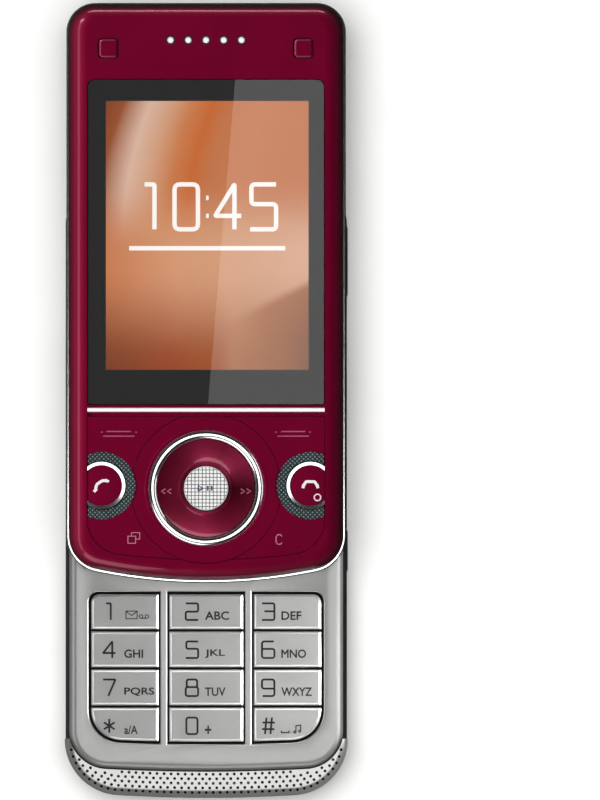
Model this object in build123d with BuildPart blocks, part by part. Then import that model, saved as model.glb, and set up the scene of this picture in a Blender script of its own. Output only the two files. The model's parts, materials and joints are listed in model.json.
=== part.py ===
from build123d import *
import os

os.makedirs("parts", exist_ok=True)

# Slider phone, open. Millimetres. It lies on its back: +Z out of the screen, +Y towards the earpiece,
# +X to the right as the user sees it. The origin is the middle of the open phone, on the table.

# ---- driving sizes ----
width = 48.0            # widest, across the lower half
lower_length = 103.0    # lower half end to end, and the closed phone's length
lower_thickness = 7.9   # back of the battery cover to the face round the keypad
upper_thickness = 6.5   # back of the upper half to the face of the screen
travel = 31.7           # stroke of the slide
bare_chin = 4.8         # how much of the chin still shows when the phone is closed

# ---- clearances and walls ----
seam = 0.05             # between two casing parts that are fixed together
slip = 0.10             # round a part that moves in its hole
slide_gap = 0.6         # air between the two halves
wall = 1.0              # side walls of the casings
key_gap = 0.22          # round each key of the keypad
key_float = 0.3         # air under a key's stem before it touches its dome or mat

# ---- the two halves, and where they lie when the phone is open ----
upper_width = width - 0.7
upper_length = lower_length - bare_chin
upper_back = lower_thickness + slide_gap
thickness = upper_back + upper_thickness
chin = -(lower_length + travel) / 2     # low end of the lower half
brow_low = chin + lower_length          # high end of the lower half
brow = brow_low + travel                # high end of the upper half
sill = brow - upper_length              # low end of the upper half

# ---- outlines, as (width, low end, high end, bow of the low end, low radius, high radius) ----
lower_outline = (width, chin, brow_low, 1.2, 9.5, 5.6)
upper_outline = (upper_width, sill, brow, 3.0, 6.3, 4.9)


def draw_half(sketch, shape, inset=0.0):
    """Draw a phone half seen from the front: straight sides, rounded corners, bowed low end."""
    full, low, high, bow, low_radius, high_radius = shape
    half = full / 2 - inset
    shoulder = low + inset + bow
    with BuildLine() as path:
        ThreePointArc((half, shoulder), (0, low + inset), (-half, shoulder))
        Polyline((-half, shoulder), (-half, high - inset), (half, high - inset), (half, shoulder))
    make_face(path.edges())
    fillet(sketch.vertices().group_by(Axis.Y)[0], low_radius - inset)
    fillet(sketch.vertices().group_by(Axis.Y)[-1], high_radius - inset)


def slab(shape, inset, low, high, mode=Mode.ADD):
    """Extrude a half's outline, drawn in by inset, between two heights."""
    with BuildSketch(Plane.XY.offset(low)) as face:
        draw_half(face, shape, inset)
    extrude(face.sketch, amount=high - low, mode=mode)


def block(x, y, z, mode=Mode.ADD, radius=0.0):
    """A box given by its limits along each axis, its upright edges rounded by radius."""
    with BuildSketch(Plane.XY.offset(z[0])) as face:
        with Locations(((x[0] + x[1]) / 2, (y[0] + y[1]) / 2)):
            if radius:
                RectangleRounded(x[1] - x[0], y[1] - y[0], radius)
            else:
                Rectangle(x[1] - x[0], y[1] - y[0])
    extrude(face.sketch, amount=z[1] - z[0], mode=mode)


def disc(x, y, radius, z, mode=Mode.ADD):
    """An upright cylinder between the two heights in z."""
    with BuildSketch(Plane.XY.offset(z[0])) as face:
        with Locations((x, y)):
            Circle(radius)
    extrude(face.sketch, amount=z[1] - z[0], mode=mode)


def stub(x, y, radius, z, mode=Mode.ADD):
    """An upright eight-sided post, pad or hole, for what stays hidden inside."""
    with BuildSketch(Plane.XY.offset(z[0])) as face:
        with Locations((x, y)):
            RegularPolygon(radius, 8)
    extrude(face.sketch, amount=z[1] - z[0], mode=mode)


def grown(limits, by):
    """A pair of limits moved apart by the same amount at both ends."""
    return (limits[0] - by, limits[1] + by)


def span(side, near, far):
    """Limits along X of something that lies from near to far on the given side."""
    return tuple(sorted((side * near, side * far)))


def about(middle, half):
    """Limits of something that reaches half to both sides of its middle."""
    return (middle - half, middle + half)


def save(piece, name):
    """Label a finished piece and write it to its own file."""
    piece.part.label = name
    export_step(piece.part, "parts/" + name + ".step")


# ==== lower half =================================================================================

# ---- heights, from the table up ----
cover_plate = 0.8                        # thickness of the back covers
cover_rim = 0.354 * lower_thickness      # height of their rims, where the side frame begins
frame_low = cover_rim + seam
frame_top = lower_thickness - 1.95       # where the side frame meets the front cover
face_low = frame_top + seam
face_under = lower_thickness - 0.9       # underside of the plate round the keypad
board_top = lower_thickness - 1.9
board_low = board_top - 0.6
tray_top = board_low - seam
tray_low = tray_top - 0.4                # the floor that the battery lies against
key_low = face_under - 0.2               # underside of the keys
key_top = lower_thickness + 0.08
mat_top = key_low - key_float
mat_low = board_top + 0.2
pad_height = 0.1                         # pads of the keypad mat, and the domes under them

# ---- the same half from side to side ----
lower_half_width = width / 2
board_half = lower_half_width - 3.2
tray_half = lower_half_width - 6.5       # half the width of the windows in the battery's tray

# ---- back covers and band, along the phone ----
cover_inset = 1.5                        # back covers, in from the widest outline
frame_inset = 0.15                       # side frame
frame_inner = 2.0                        # inside of the side frame
rim_radius = 1.4                         # rounding of the back covers
chin_rise = 1.3                          # how far the back climbs towards the chin
chin_slope = 14.8                        # and over what length
band_high = brow_low - 25.0              # black band across the back
band_width = 16.3
band_low = band_high - band_width
band_middle = (band_high + band_low) / 2
band_bend = frame_low + 0.05             # how wide it bends round the phone's edges
band_leg_top = frame_low + 1.35          # how far its ends climb the sides
medallion_radius = 6.5
badge_radius = 3.2
badge_y = chin + 29.1
inlay = (0.02, 0.48)                     # heights of the badge and the medallion in their recesses
inlay_recess = (-1, 0.5)


def back_volume(inset):
    """What lies inside the back covers' outer face, drawn in by inset: flat, then climbing to the chin."""
    start = chin + cover_inset + chin_slope
    with BuildPart() as body:
        slab(lower_outline, cover_inset + inset, inset, cover_rim)
        with BuildSketch(Plane.YZ) as wedge:
            with BuildLine():
                Polyline((start, inset), (chin, inset + chin_rise), (chin, -1), (start, -1), close=True)
            make_face()
        extrude(wedge.sketch, amount=width, both=True, mode=Mode.SUBTRACT)
        if not inset:
            ramp, flat = body.faces().sort_by(Axis.Z)[:2]
            rim = [edge for edge in ramp.edges() + flat.edges() if abs(edge.center().Y - start) > 0.01]
            fillet(rim, rim_radius)
    return body.part


outer_back = back_volume(0)
inner_back = back_volume(cover_plate)


def back_piece(y_low, y_high):
    """The part of the hollow back shell between two places along the phone."""
    add(outer_back)
    add(inner_back, mode=Mode.SUBTRACT)
    block((-width, width), (y_high, brow_low + 10), (-1, cover_rim + 1), Mode.SUBTRACT)
    block((-width, width), (chin - 10, y_low), (-1, cover_rim + 1), Mode.SUBTRACT)


# ---- antenna cover: fixed silver cap over the high end of the back ----
with BuildPart() as antenna_cover:
    back_piece(band_high + seam, brow_low)
save(antenna_cover, "antenna_cover")

# ---- battery cover: slides towards the chin and lifts off; round recess for its badge ----
with BuildPart() as battery_cover:
    back_piece(chin, band_low - slip)
    disc(0, badge_y, badge_radius + seam, inlay_recess, Mode.SUBTRACT)
save(battery_cover, "battery_cover")

# ---- badge: plain disc let into the battery cover, its edge bevelled ----
with BuildPart() as cover_badge:
    disc(0, badge_y, badge_radius, inlay)
    chamfer(cover_badge.faces().sort_by(Axis.Z)[0].edges(), 0.2)
save(cover_badge, "cover_badge")

# ---- band: black strap right across the back that climbs both sides; bent from one strip ----
with BuildPart() as rear_band:
    with BuildSketch(Plane.XZ.offset(-band_high)) as strap:
        for inset, mode in ((0, Mode.ADD), (cover_plate, Mode.SUBTRACT)):
            half = lower_half_width - frame_inset - inset
            with BuildLine() as path:
                FilletPolyline(
                    (-half, band_leg_top), (-half, inset), (half, inset), (half, band_leg_top),
                    radius=band_bend - inset,
                )
                Line((half, band_leg_top), (-half, band_leg_top))
            make_face(path.edges(), mode=mode)
    extrude(strap.sketch, amount=band_width)
    disc(0, band_middle, medallion_radius + seam, inlay_recess, Mode.SUBTRACT)
save(rear_band, "rear_band")

# ---- medallion: turned metal disc in the middle of the band, its rim bevelled ----
with BuildPart() as band_medallion:
    disc(0, band_middle, medallion_radius, inlay)
    chamfer(band_medallion.faces().sort_by(Axis.Z)[0].edges(), 0.25, 0.5)
save(band_medallion, "band_medallion")

# ---- keys and socket in the sides: their limits along Y, along X or in height ----
side_key_z = (frame_low + 0.55, tray_low - 0.25)
side_key_inner = lower_half_width - 2.6
side_flange = 0.4                        # how far the flange behind a side key stands out round it
flange_z = grown(side_key_z, 0.15)
volume_span = (brow_low - 17.9, brow_low - 6.1)
camera_key_span = (brow_low - 64.6, brow_low - 57.6)
power_span = (9.0, 14.0)
socket_span = (brow_low - 17.25, brow_low - 5.15)
socket_z = (frame_low + 0.35, tray_top - seam)
socket_inner = lower_half_width - 3.55
screw_x = lower_half_width - 4.8
screw_spots = [(side * screw_x, y) for side in (-1, 1) for y in (chin + 38.85, brow_low - 4.05)]
screw_shank = 0.6
contact_span = (band_low - 7.2, band_low - 2.6)     # window in the tray for the battery's contacts
horn_span = (chin + 2.0, chin + 9.7)                # window in the tray for the loudspeaker
horn_half = 8.0
contact_half = tray_half - 10.9

# ---- mid frame: dark side wall of the lower half, with the battery's tray across it ----
with BuildPart() as mid_frame:
    slab(lower_outline, frame_inset, frame_low, frame_top)
    chamfer(mid_frame.faces().sort_by(Axis.Z)[0].edges(), 0.7)
    chamfer(mid_frame.faces().sort_by(Axis.Z)[-1].edges(), 0.4)
    slab(lower_outline, frame_inner, frame_low, tray_low, Mode.SUBTRACT)
    slab(lower_outline, frame_inner, tray_top, frame_top, Mode.SUBTRACT)
    tray = (tray_low, tray_top)
    block((-tray_half, tray_half), (band_low - 1.0, brow_low - 4.5), tray, Mode.SUBTRACT, 1)
    block((-contact_half, contact_half), contact_span, tray, Mode.SUBTRACT)
    block((-horn_half, horn_half), horn_span, tray, Mode.SUBTRACT)
    for side in (-1, 1):
        leg = span(side, lower_half_width - frame_inset - cover_plate - seam, lower_half_width)
        leg_z = (frame_low - 1, band_leg_top + seam)
        block(leg, grown((band_low, band_high), seam), leg_z, Mode.SUBTRACT)
    key_hole = grown(side_key_z, slip)
    for limits in (volume_span, camera_key_span):
        block((side_key_inner, width), grown(limits, slip), key_hole, Mode.SUBTRACT)
    block(grown(power_span, slip), (brow_low - 2.6, brow_low), key_hole, Mode.SUBTRACT)
    socket_hole = (socket_z[0] - seam, tray_top)
    block((-lower_half_width, seam - socket_inner), grown(socket_span, seam), socket_hole, Mode.SUBTRACT)
    for x, y in screw_spots:
        stub(x, y, screw_shank + slip, tray, Mode.SUBTRACT)
save(mid_frame, "mid_frame")

key_round = 0.23 * (side_key_z[1] - side_key_z[0])


def side_key(name, limits, flange):
    """A key in the right-hand wall: cap through the wall, and a flange of that thickness behind it."""
    with BuildPart() as key:
        block((side_key_inner + flange / 2, lower_half_width), limits, side_key_z)
        fillet(key.faces().sort_by(Axis.X)[-1].edges(), key_round)
        block((side_key_inner, side_key_inner + flange), grown(limits, side_flange), flange_z)
    save(key, name)


side_key("volume_key", volume_span, 0.35)        # a rocker: room for its flange to tip
side_key("camera_key", camera_key_span, 0.55)

# ---- power key: in the high end of the side frame ----
with BuildPart() as power_key:
    block(power_span, (brow_low - 2.1, brow_low), side_key_z)
    fillet(power_key.faces().sort_by(Axis.Y)[-1].edges(), key_round)
    block(grown(power_span, side_flange), (brow_low - 2.6, brow_low - 2.05), flange_z)
save(power_key, "power_key")

# ---- system connector: socket for charger and headset, under the board's left edge ----
socket_height = socket_z[1] - socket_z[0]
with BuildPart() as system_connector:
    block((0.6 - lower_half_width, -socket_inner), socket_span, socket_z)
    mouth = grown(socket_span, -0.6)
    mouth_z = grown(socket_z, -0.21 * socket_height)
    block((-lower_half_width, -socket_inner - 1.15), mouth, mouth_z, Mode.SUBTRACT)
    tongue = grown(mouth, -0.8)
    block((1.0 - lower_half_width, -socket_inner - 1.05), tongue, grown(socket_z, -0.4 * socket_height))
save(system_connector, "system_connector")

# ---- slide: steel base on the lower half whose two shoes run on the upper half's guide bars ----
shoe_high = brow_low - 17.75
shoe_low = shoe_high - 29.9
rail_x = upper_width / 2 - 2.15          # middle of each guide bar
bar_half = 0.9                           # half its width
flank = 0.37 * upper_thickness           # height of the upper half's rear cover
strip_sheet = 0.38                       # sheet of the strips along its back
bar_height = 0.375 * flank
bar_low = upper_back + strip_sheet
bar_top = bar_low + bar_height
shoe_top = bar_top + 0.2 * flank
slot_half = 1.3                          # half the width of the slot that a shoe passes through
base_plate = 0.48
base_x = rail_x + 0.5
base_window = 9.0                        # half the width of the opening that leaves room for the ribbon

with BuildPart() as slide_base:
    base_span = (shoe_low - 0.8, shoe_high + 1.1)
    block((-base_x, base_x), base_span, (lower_thickness - base_plate, lower_thickness), radius=1)
    opening = (shoe_low - 6, shoe_high - 4)
    block((-base_window, base_window), opening, (0, lower_thickness + 1), Mode.SUBTRACT, 2)
    for side in (-1, 1):
        length = (shoe_low, shoe_high)
        foot = (lower_thickness, lower_thickness + slide_gap / 2)
        block(span(side, rail_x - 2.9, rail_x + slot_half - slip), length, foot)
        shoe = span(side, rail_x - slot_half + slip, rail_x + slot_half - slip)
        block(shoe, length, (lower_thickness, shoe_top))
        bore = span(side, rail_x - bar_half - seam, rail_x + bar_half + seam)
        block(bore, grown(length, 1), (bar_low - seam, bar_top + seam), Mode.SUBTRACT)
save(slide_base, "slide_base")

# ---- lower front cover: satin plate round the keypad, recessed for the slide's base and ribbon ----
face_outline = (width - 1.6, chin + 4.55, brow_low - 0.6, 0.9, 6.5, 5.0)
well_outline = (width - 8.2, chin + 9.15, chin + 34.95, 0.5, 5.5, 1.7)
well_width, well_end, well_top = well_outline[:3]
bar_x = 0.18 * well_width                # bars between the keypad's columns
bar_width = 1.25
ribbon_half = 4.0                        # half the width of the ribbon's ends
ribbon_high = brow_low - 22.5            # where the ribbon comes up through the cover
ribbon_low = well_top + 8.55             # end of the hollow that its loop rolls in

with BuildPart() as lower_front_cover:
    slab(face_outline, 0, face_low, lower_thickness)
    fillet(lower_front_cover.faces().sort_by(Axis.Z)[-1].edges(), 1.4)
    slab(face_outline, wall, face_low, face_under, Mode.SUBTRACT)
    with BuildSketch(Plane.XY.offset(face_under - 1)) as well:
        draw_half(well, well_outline)
        with Locations((-bar_x, well_end), (bar_x, well_end)):
            Rectangle(bar_width, 2 * well_width, mode=Mode.SUBTRACT)
    extrude(amount=3, mode=Mode.SUBTRACT)
    rims = lower_front_cover.faces().sort_by(Axis.Z)[-1].inner_wires()
    chamfer([edge for rim in rims for edge in rim.edges()], 0.18)
    base_recess = (lower_thickness - base_plate - 0.02, lower_thickness + 1)
    block(grown((-base_x, base_x), slip), grown(base_span, slip), base_recess, Mode.SUBTRACT, 1)
    hollow = (face_under + 0.2, lower_thickness + 1)
    block(grown((-ribbon_half, ribbon_half), 1), (ribbon_low, ribbon_high + 1), hollow, Mode.SUBTRACT)
    way_down = (face_under - 1, lower_thickness)
    block(grown((-ribbon_half, ribbon_half), 0.5), about(ribbon_high + 0.1, 0.5), way_down, Mode.SUBTRACT)
    for x, y in screw_spots:
        stub(x, y, 1.3, (board_top + seam, face_under + 0.1))
        stub(x, y, screw_shank, (board_top, face_under), Mode.SUBTRACT)
save(lower_front_cover, "lower_front_cover")

# ---- speaker grille: bright strip that closes the chin in front of the loudspeaker ----
grille_tips = chin + 10.05
with BuildPart() as speaker_grille:
    slab(lower_outline, 0, face_low, lower_thickness)
    fillet(speaker_grille.faces().sort_by(Axis.Z)[-1].edges(), 1.5)
    slab(lower_outline, wall, face_low, face_under, Mode.SUBTRACT)
    slab(face_outline, -slip, face_low - 1, lower_thickness + 1, Mode.SUBTRACT)
    block((-width, width), (grille_tips, brow_low + 5), (0, thickness), Mode.SUBTRACT)
save(speaker_grille, "speaker_grille")

# ---- keypad: twelve separate caps that stand in three columns between the cover's bars ----
key_names = (
    ("key_1", "key_2", "key_3"),
    ("key_4", "key_5", "key_6"),
    ("key_7", "key_8", "key_9"),
    ("key_star", "key_0", "key_hash"),
)
row_pitch = (well_top - well_end) / len(key_names)
row_gap = 0.3
column_limits = (
    (-well_width / 2 + key_gap, -bar_x - bar_width / 2 - key_gap),
    (-bar_x + bar_width / 2 + key_gap, bar_x - bar_width / 2 - key_gap),
    (bar_x + bar_width / 2 + key_gap, well_width / 2 - key_gap),
)
key_spots = []

for row, names in enumerate(key_names):
    row_top = well_top - key_gap - row * row_pitch
    row_end = row_top - row_pitch + row_gap
    for column, name in enumerate(names):
        left, right = column_limits[column]
        spot = ((left + right) / 2, (row_top + row_end) / 2)
        key_spots.append(spot)
        with BuildPart() as key:
            with BuildSketch(Plane.XY.offset(key_low)) as cap:
                draw_half(cap, well_outline, key_gap)
                with Locations(spot):
                    Rectangle(right - left, row_top - row_end, mode=Mode.INTERSECT)
            extrude(amount=key_top - key_low)
            chamfer(key.faces().sort_by(Axis.Z)[-1].edges(), 0.22)
        save(key, name)

# ---- keypad mat: silicone sheet with a pad under each key ----
with BuildPart() as keypad_mat:
    slab(well_outline, -0.8, mat_low, mat_top - pad_height)
    for x, y in key_spots:
        stub(x, y, 1.5, (mat_top - pad_height, mat_top))
save(keypad_mat, "keypad_mat")

# ---- main board: domes under the keys, microphone, ribbon socket, cans and battery contacts ----
mic_x = 12.7
with BuildPart() as main_board:
    sheet = (board_low, board_top)
    block((-board_half, board_half), (chin + 9.6, brow_low - 2.5), sheet, radius=1.5)
    block(about(mic_x, 2.2), (chin + 5.9, chin + 10.6), sheet)
    stub(mic_x, chin + 7.25, 1.2, (board_top, face_under - 0.1))
    for x, y in key_spots:
        stub(x, y, 2.2, (board_top, board_top + pad_height))
    can_half = tray_half - 1.0
    block((-can_half, can_half), (brow_low - 14.0, brow_low - 5.5), (tray_low - 0.95, board_low))
    block((-can_half, -1.5), (band_low + 2, brow_low - 15.0), (tray_low - 0.95, board_low))
    block((1.0, can_half), (band_low + 2, brow_low - 17.0), (tray_low - 0.65, board_low))
    contacts_z = (cover_plate + 0.8, board_low)
    block(grown((-contact_half, contact_half), -0.6), grown(contact_span, -0.4), contacts_z)
    for x in (-0.55 * contact_half, 0, 0.55 * contact_half):
        prong = (contact_span[0], contact_span[0] + 0.5)
        block(about(x, 0.5), prong, (cover_plate + 1.2, cover_plate + 2.6))
    block((-ribbon_half, ribbon_half), (ribbon_high + 2, ribbon_high + 5), (board_top, face_under - 0.1))
    for x, y in screw_spots:
        stub(x, y, screw_shank + slip, sheet, Mode.SUBTRACT)
save(main_board, "main_board")

# ---- battery: flat cell held between the tray and the cover ----
battery_low = chin + cover_inset + chin_slope - 2.0      # just on the climb of the cover's floor
with BuildPart() as battery:
    battery_z = (cover_plate + 2 * slip, tray_low - slip)
    block(grown((-tray_half, tray_half), -0.3), (battery_low, contact_span[0] - 0.3), battery_z, radius=0.8)
    chamfer(battery.edges().filter_by(Plane.XY), 0.3)
save(battery, "battery")

# ---- loudspeaker: box behind the chin's grille, with its mouth above it ----
with BuildPart() as loudspeaker:
    box_z = (cover_rim - 0.1, frame_top - seam)
    block(grown((-horn_half, horn_half), -0.5), grown(horn_span, -0.5), box_z, radius=1)
    horn_mouth = (horn_span[0] + 0.6, horn_span[0] + 2.2)
    block(grown((-horn_half, horn_half), -2.0), horn_mouth, (frame_top - seam, face_under - 0.1))
save(loudspeaker, "loudspeaker")

# ---- vibration motor: small can beside the battery's contacts, and the half-round weight it spins ----
motor_radius = (tray_low - cover_plate) / 2 - 0.175
motor_start = tray_half - 9.1
motor_can = 6.4
motor_shaft = 0.35
weight_length = 2.4
motor_middle = (0, band_low - 5.0, tray_low - slip - motor_radius)
motor_line = Plane(origin=motor_middle, x_dir=(0, 1, 0), z_dir=(1, 0, 0))
with BuildPart() as vibration_motor:
    with BuildSketch(motor_line.offset(motor_start)):
        Circle(motor_radius)
    extrude(amount=motor_can)
    with BuildSketch(motor_line.offset(motor_start + motor_can)):
        Circle(motor_shaft)
    extrude(amount=weight_length + 1.0)
save(vibration_motor, "vibration_motor")

with BuildPart() as motor_weight:
    with BuildSketch(motor_line.offset(motor_start + motor_can + 0.5)):
        Circle(motor_radius - slip)
        with Locations((0, motor_radius)):
            Rectangle(2 * motor_radius, 2 * motor_radius - 1.2, mode=Mode.SUBTRACT)
        Circle(motor_shaft + seam, mode=Mode.SUBTRACT)
    extrude(amount=weight_length)
save(motor_weight, "motor_weight")

# ---- lower screws: four, from the battery bay and under the antenna cover, into the front cover ----
with BuildPart() as lower_screws:
    for x, y in screw_spots:
        disc(x, y, 1.1, (tray_low - 0.7, tray_low))
        stub(x, y, screw_shank - 0.02, (tray_low, face_under - 0.1))
save(lower_screws, "lower_screws")


# ==== upper half =================================================================================

# ---- heights ----
flank_top = upper_back + flank           # where the rear cover meets the bright frame
frame_sheet = flank_top + seam           # underside of the bright frame
floor_top = frame_sheet + 0.4            # its floor
trim_top = frame_sheet + 0.65
shell_low = trim_top + seam              # low edge of the red cover
plate_low = thickness - 1.0              # underside of the red cover's face
circuit_top = thickness - 0.4 * upper_thickness     # front of the upper board
circuit_low = circuit_top - 0.6
dome_top = circuit_top + 0.15
stem_low = dome_top + key_float
cap_low = plate_low - slip               # underside of the function keys
cap_top = thickness - 0.1
part_low = floor_top + seam              # underside of what hangs from the upper board

# ---- display and earpiece, from the high end of the half ----
ear_y = brow - 6.35                      # row of earpiece holes
ear_pitch = 3.0
ear_spots = [(ear_pitch * i, ear_y) for i in range(-2, 3)]
window_side = upper_width / 2 - 3.55     # half the width of the display window
window_high = brow - 12.9
window_low = sill + 30.1
game_x = window_side - 3.6
game_y = brow - 7.75
game_side = 3.0
game_round = 0.6

# ---- field of function keys, from the low end; its round parts are shares of its half width ----
field_half = upper_width / 2 - 3.5
field_outline = (2 * field_half, sill + 3.9, sill + 28.3, 1.75, 6.0, 0.4)
nav_y = sill + 16.05
island_radius = 0.628 * field_half       # the island round the navigation keys
chrome_outer = 0.4864 * field_half
ring_outer = 0.407 * field_half          # four-way ring key
ring_inner = 0.196 * field_half
chrome_inner = ring_outer + 0.15
select_radius = ring_inner - 0.2
halo_radius = 0.29 * field_half          # patterned insert round each call key
call_radius = 0.2035 * field_half
call_x = field_half - 2.5
call_y = sill + 16.5
four_way = 0.303 * field_half            # from the middle to the ring key's four domes
call_stem = 1.0
stem_spots = ((field_half - 4.65, sill + 24.3), (field_half - 7.75, sill + 7.4))


def draw_field(sketch, inset=0.0):
    """Draw the field of function keys: a half's outline with the round island bulging from its low end."""
    draw_half(sketch, field_outline, inset)
    with Locations((0, nav_y)):
        Circle(island_radius + slip - inset)
    with Locations((0, field_outline[2] - inset + 5)):
        Rectangle(2 * island_radius, 10, mode=Mode.SUBTRACT)


def draw_window(sketch, inset=0.0):
    """Draw the display window: a rectangle with its high corners rounded."""
    low = window_low + inset
    high = window_high - inset
    with Locations((0, (low + high) / 2)):
        Rectangle(2 * (window_side - inset), high - low)
    fillet(sketch.vertices().group_by(Axis.Y)[-1], 1.35 - inset)
    fillet(sketch.vertices().group_by(Axis.Y)[0], 0.5 - inset)


# ---- upper front cover: glossy shell, rounded over all round, open for window, keys and earpiece ----
shell_round = 0.9 * (thickness - shell_low)
shell_inset = 0.4                        # how far it stands back from the bright frame's edge
glass_seat = thickness - 0.6             # rebate for the window and the trim bar
bar_seat = (field_outline[2] - 0.5, window_low - 0.38)
aperture_half = window_side - 2.5
over = thickness + 1                     # above everything, for cuts
with BuildPart() as shell_hollow:
    slab(upper_outline, shell_inset + wall, trim_top, plate_low)
    chamfer(shell_hollow.faces().sort_by(Axis.Z)[-1].edges(), 0.5 * shell_round)

with BuildPart() as upper_front_cover:
    slab(upper_outline, shell_inset, shell_low, thickness)
    fillet(upper_front_cover.faces().sort_by(Axis.Z)[-1].edges(), shell_round)
    add(shell_hollow.part, mode=Mode.SUBTRACT)
    with BuildSketch(Plane.XY.offset(glass_seat)) as rebate:
        draw_window(rebate)
    extrude(amount=2, mode=Mode.SUBTRACT)
    aperture = (window_low + 5.5, window_high - 3.2)
    block((-aperture_half, aperture_half), aperture, (plate_low - 1, over), Mode.SUBTRACT)
    with BuildSketch(Plane.XY.offset(plate_low - 1)) as field:
        draw_field(field)
    extrude(amount=3, mode=Mode.SUBTRACT)
    block((-window_side, window_side), bar_seat, (glass_seat, over), Mode.SUBTRACT)
    for x in (-game_x, game_x):
        for spare, low in ((slip, plate_low - 1), (0.35, thickness - 0.2)):
            half = game_side / 2 + spare
            block(about(x, half), about(game_y, half), (low, over), Mode.SUBTRACT, game_round + spare - slip)
    for x, y in ear_spots:
        disc(x, y, 0.78, (plate_low - 1, over), Mode.SUBTRACT)
save(upper_front_cover, "upper_front_cover")

# ---- display window: bonded glass ----
with BuildPart() as display_window:
    with BuildSketch(Plane.XY.offset(glass_seat + 0.02)) as glass:
        draw_window(glass, seam)
    extrude(amount=0.53)
    chamfer(display_window.faces().sort_by(Axis.Z)[-1].edges(), 0.12)
save(display_window, "display_window")

# ---- key trim bar: bright strip between window and keys ----
with BuildPart() as key_trim_bar:
    trim_y = (bar_seat[1] - seam - 0.7, bar_seat[1] - seam)
    block(grown((-window_side, window_side), -seam), trim_y, (glass_seat + 0.02, thickness - 0.02))
    chamfer(key_trim_bar.faces().sort_by(Axis.Z)[-1].edges().filter_by(Axis.X), 0.15)
save(key_trim_bar, "key_trim_bar")

# ---- display: module in a sheet metal tray on the board ----
display_y = (window_low + 2.4, window_high - 1.1)
with BuildPart() as display_frame:
    tray_x = (1.4 - window_side, window_side - 1.4)
    block(tray_x, display_y, (circuit_top, plate_low - 0.4))
    block(grown(tray_x, -0.35), grown(display_y, -0.35), (circuit_top + 0.25, plate_low), Mode.SUBTRACT)
save(display_frame, "display_frame")

with BuildPart() as display_module:
    block(grown(tray_x, -0.45), grown(display_y, -0.45), (circuit_top + 0.3, plate_low - 0.25))
    glass_y = (display_y[0] + 1.8, display_y[1] - 0.8)
    block(grown(tray_x, -0.8), glass_y, (plate_low - 0.25, plate_low - seam))
save(display_module, "display_module")

# ---- earpiece: bright grille whose five studs fill the holes, and the speaker behind it ----
ear_half = 2 * ear_pitch + 0.5
with BuildPart() as earpiece_grille:
    block(about(0, ear_half + 0.8), about(ear_y, 1.3), (plate_low - 0.35, plate_low - 0.02))
    for x, y in ear_spots:
        disc(x, y, 0.72, (plate_low - 0.02, thickness - 0.2))
save(earpiece_grille, "earpiece_grille")

with BuildPart() as earpiece_speaker:
    speaker_y = (ear_y - 2.85, ear_y + 2.75)
    block((-ear_half, ear_half), speaker_y, (circuit_top + 0.05, plate_low - 0.4), radius=2.4)
save(earpiece_speaker, "earpiece_speaker")


# ---- function keys: a rocker plate, a patterned insert and a round key on each side ----
def draw_call(sketch, side, radius, inset):
    """Draw a disc at a call key's place, cut off by the edge of the key field."""
    draw_field(sketch, inset)
    with Locations((side * call_x, call_y)):
        Circle(radius, mode=Mode.INTERSECT)


def key_plate(side, name):
    """Rocker beside the island: soft key at its high end, function key at its low end, round hole between."""
    with BuildSketch() as halo_area:
        draw_call(halo_area, side, halo_radius, slip)
    with BuildPart() as plate:
        with BuildSketch(Plane.XY.offset(cap_low)) as face:
            draw_field(face, slip)
            with Locations((0, nav_y)):
                Circle(island_radius + slip, mode=Mode.SUBTRACT)
            with Locations((-side * width / 2, nav_y)):
                Rectangle(width, 2 * width, mode=Mode.SUBTRACT)
            add(halo_area.sketch)
            with Locations((side * call_x, call_y)):
                Circle(call_radius + slip, mode=Mode.SUBTRACT)
        extrude(amount=cap_top - cap_low)
        with BuildSketch(Plane.XY.offset(cap_top - 0.35)) as pocket:
            draw_call(pocket, side, halo_radius - 0.1, slip)
        extrude(pocket.sketch, amount=1, mode=Mode.SUBTRACT)
        for x, y in stem_spots:
            stub(side * x, y, call_stem, (stem_low, cap_low))
    save(plate, name)


def key_halo(side, name):
    """Patterned insert round a call key, let into the rocker plate."""
    with BuildPart() as halo:
        with BuildSketch(Plane.XY.offset(cap_top - 0.33)) as face:
            draw_call(face, side, halo_radius - 0.15, 2 * slip)
            with Locations((side * call_x, call_y)):
                Circle(call_radius + slip, mode=Mode.SUBTRACT)
        extrude(amount=0.33)
    save(halo, name)


def call_cap(side, name):
    """Round key cut off by the edge of the key field, on its own stem."""
    with BuildPart() as cap:
        with BuildSketch(Plane.XY.offset(cap_low)) as face:
            draw_call(face, side, call_radius, slip)
        extrude(amount=cap_top + 0.05 - cap_low)
        chamfer(cap.faces().sort_by(Axis.Z)[-1].edges(), 0.15)
        stub(side * call_x, call_y, call_stem, (stem_low, cap_low))
    save(cap, name)


for side, hand, call in ((-1, "left", "call"), (1, "right", "end")):
    key_plate(side, hand + "_key_plate")
    key_halo(side, call + "_key_halo")
    call_cap(side, call + "_key")

# ---- island: fixed red collar round the navigation keys ----
with BuildPart() as nav_island:
    with BuildSketch(Plane.XY.offset(cap_low)) as face:
        draw_field(face, slip)
        with Locations((0, nav_y)):
            Circle(island_radius, mode=Mode.INTERSECT)
        with Locations((-call_x, call_y), (call_x, call_y)):
            Circle(halo_radius + slip, mode=Mode.SUBTRACT)
        with Locations((0, nav_y)):
            Circle(chrome_outer + seam, mode=Mode.SUBTRACT)
    extrude(amount=cap_top - cap_low)
save(nav_island, "nav_island")

# ---- chrome ring and four-way ring key: turned round the middle of the island ----
nav_plane = Plane(origin=(0, nav_y, 0), x_dir=(1, 0, 0), z_dir=(0, -1, 0))
nav_axis = Axis((0, nav_y, 0), (0, 0, 1))
crown_foot = thickness - 0.35

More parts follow.
